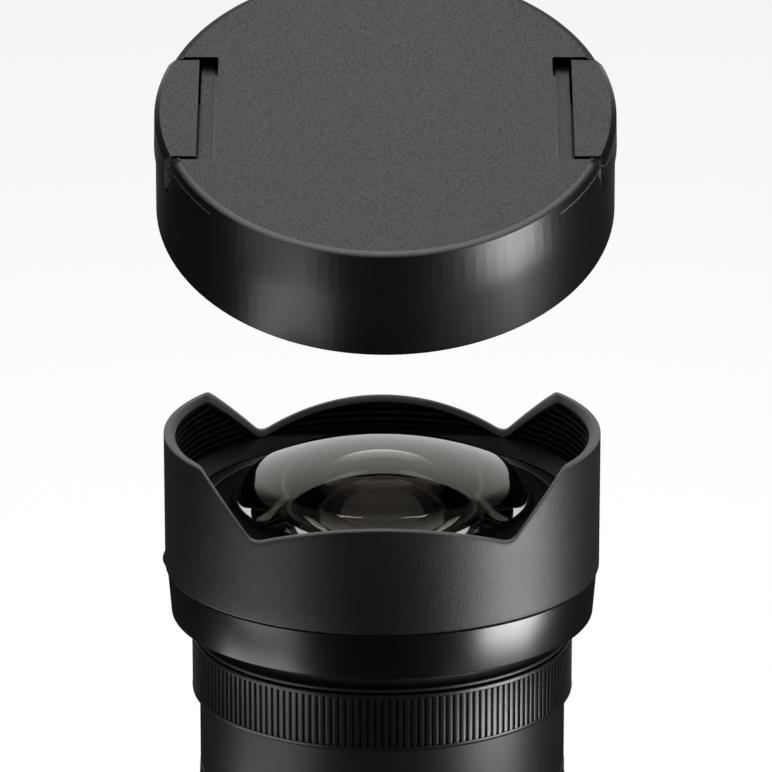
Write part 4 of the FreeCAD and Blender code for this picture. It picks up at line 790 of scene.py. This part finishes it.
# Pale paper: its own colour under diffuse light, a glow of white for the camera, and the object's shadow on it.
floor_paper, tree = start_material("pale_paper_floor")
spot = add_node(tree, "ShaderNodeTexCoord")
toward_back = add_node(tree, "ShaderNodeSeparateXYZ", (), [(0, spot, "Object")])
backdrop = add_node(tree, "ShaderNodeMapRange",
                    {"interpolation_type": "SMOOTHSTEP", "From Min": 0.4, "From Max": 1.5},
                    [("Value", toward_back, "Y")])
pale = add_node(tree, "ShaderNodeBsdfDiffuse", {"Color": linear("#d8d8d8")})
floor_look = mirrored_and_seen(tree, "ShaderNodeEmission", pale, backdrop, 0.02, 0.8)
shadow = add_node(tree, "ShaderNodeBsdfDiffuse", {"Color": (0.3, 0.3, 0.3, 1)})
with_shadow = add_node(tree, "ShaderNodeAddShader", (), [(0, floor_look, 0), (1, shadow, 0)])
path = add_node(tree, "ShaderNodeLightPath")
camera_only = add_node(tree, "ShaderNodeMixShader", (),
                       [(0, path, "Is Camera Ray"), (1, floor_look, 0), (2, with_shadow, 0)])
add_node(tree, "ShaderNodeOutputMaterial", (), [("Surface", camera_only, 0)])
floor_level, floor_reach = -0.0053, 3
mesh = bpy.data.meshes.new("floor")
mesh.from_pydata([(x * floor_reach, y * floor_reach, floor_level) for x, y in ((-1, -1), (1, -1), (1, 1), (-1, 1))],
                 [], [(0, 1, 2, 3)])
mesh.materials.append(floor_paper)
floor = bpy.data.objects.new("floor", mesh)
bpy.context.scene.collection.objects.link(floor)

world = bpy.data.worlds.new("studio")
world.use_nodes = True
tree = world.node_tree
tree.nodes.clear()
direction = add_node(tree, "ShaderNodeTexCoord")
toward_back = add_node(tree, "ShaderNodeSeparateXYZ", (), [(0, direction, "Generated")])
behind = add_node(tree, "ShaderNodeMapRange",
                  {"interpolation_type": "SMOOTHSTEP", "From Min": 0.4, "From Max": 0.9},
                  [("Value", toward_back, "Y")])
aside = add_node(tree, "ShaderNodeMath", {"operation": "ABSOLUTE"}, [(0, toward_back, "X")])
between = add_node(tree, "ShaderNodeMapRange",
                   {"interpolation_type": "SMOOTHSTEP", "From Min": 0.35, "From Max": 0.75, "To Min": 1.0,
                    "To Max": 0.0}, [("Value", aside, 0)])
backdrop = add_node(tree, "ShaderNodeMath", {"operation": "MULTIPLY"}, [(0, behind, 0), (1, between, 0)])
ambient = add_node(tree, "ShaderNodeBackground", {"Color": (1, 1, 1, 1), "Strength": 0.2})
around = mirrored_and_seen(tree, "ShaderNodeBackground", ambient, backdrop, 0.1, 1.0)
add_node(tree, "ShaderNodeOutputWorld", (), [("Surface", around, 0)])
bpy.context.scene.world = world

lamp_level = -0.004
for name, turn, near, far, width, watts in (("right_card_cap", 52, 0.11, 0.18, 0.1, 0.012),
                                            ("right_card_near", 66, 0.2, 0.25, 0.12, 0.34),
                                            ("right_card_far", 69, 0.26, 0.42, 0.19, 2.7),
                                            ("left_card_near", -68, 0.1, 0.18, 0.13, 0.125),
                                            ("left_card_middle", -54, 0.19, 0.26, 0.12, 0.03),
                                            ("left_card_far", -61, 0.26, 0.42, 0.19, 0.38)):
    middle = (near + far) / 2
    place = (middle * math.sin(math.radians(turn)), -middle * math.cos(math.radians(turn)), lamp_level)
    softbox(name, place, 180, turn, (width, far - near), watts)
softbox("overhead", (0, 0.12, 0.8), 0, 0, (0.5, 0.4), 3.6)


# Camera: a long lens that looks 17.5 degrees down on the barrel from 1.1 m, solved from the outlines of the hood,
# the band, the glass and the cap.

looks_down = 17.49
lens_camera = bpy.data.cameras.new("camera")
lens_camera.sensor_width = 36.0
lens_camera.lens = 257.3
camera = bpy.data.objects.new("camera", lens_camera)
bpy.context.scene.collection.objects.link(camera)
camera.location = (0.00077, -1.0453, 0.4557)
camera.rotation_euler = (math.radians(90 - looks_down), 0, 0)
bpy.context.scene.camera = camera
bpy.context.scene.view_settings.view_transform = "Standard"
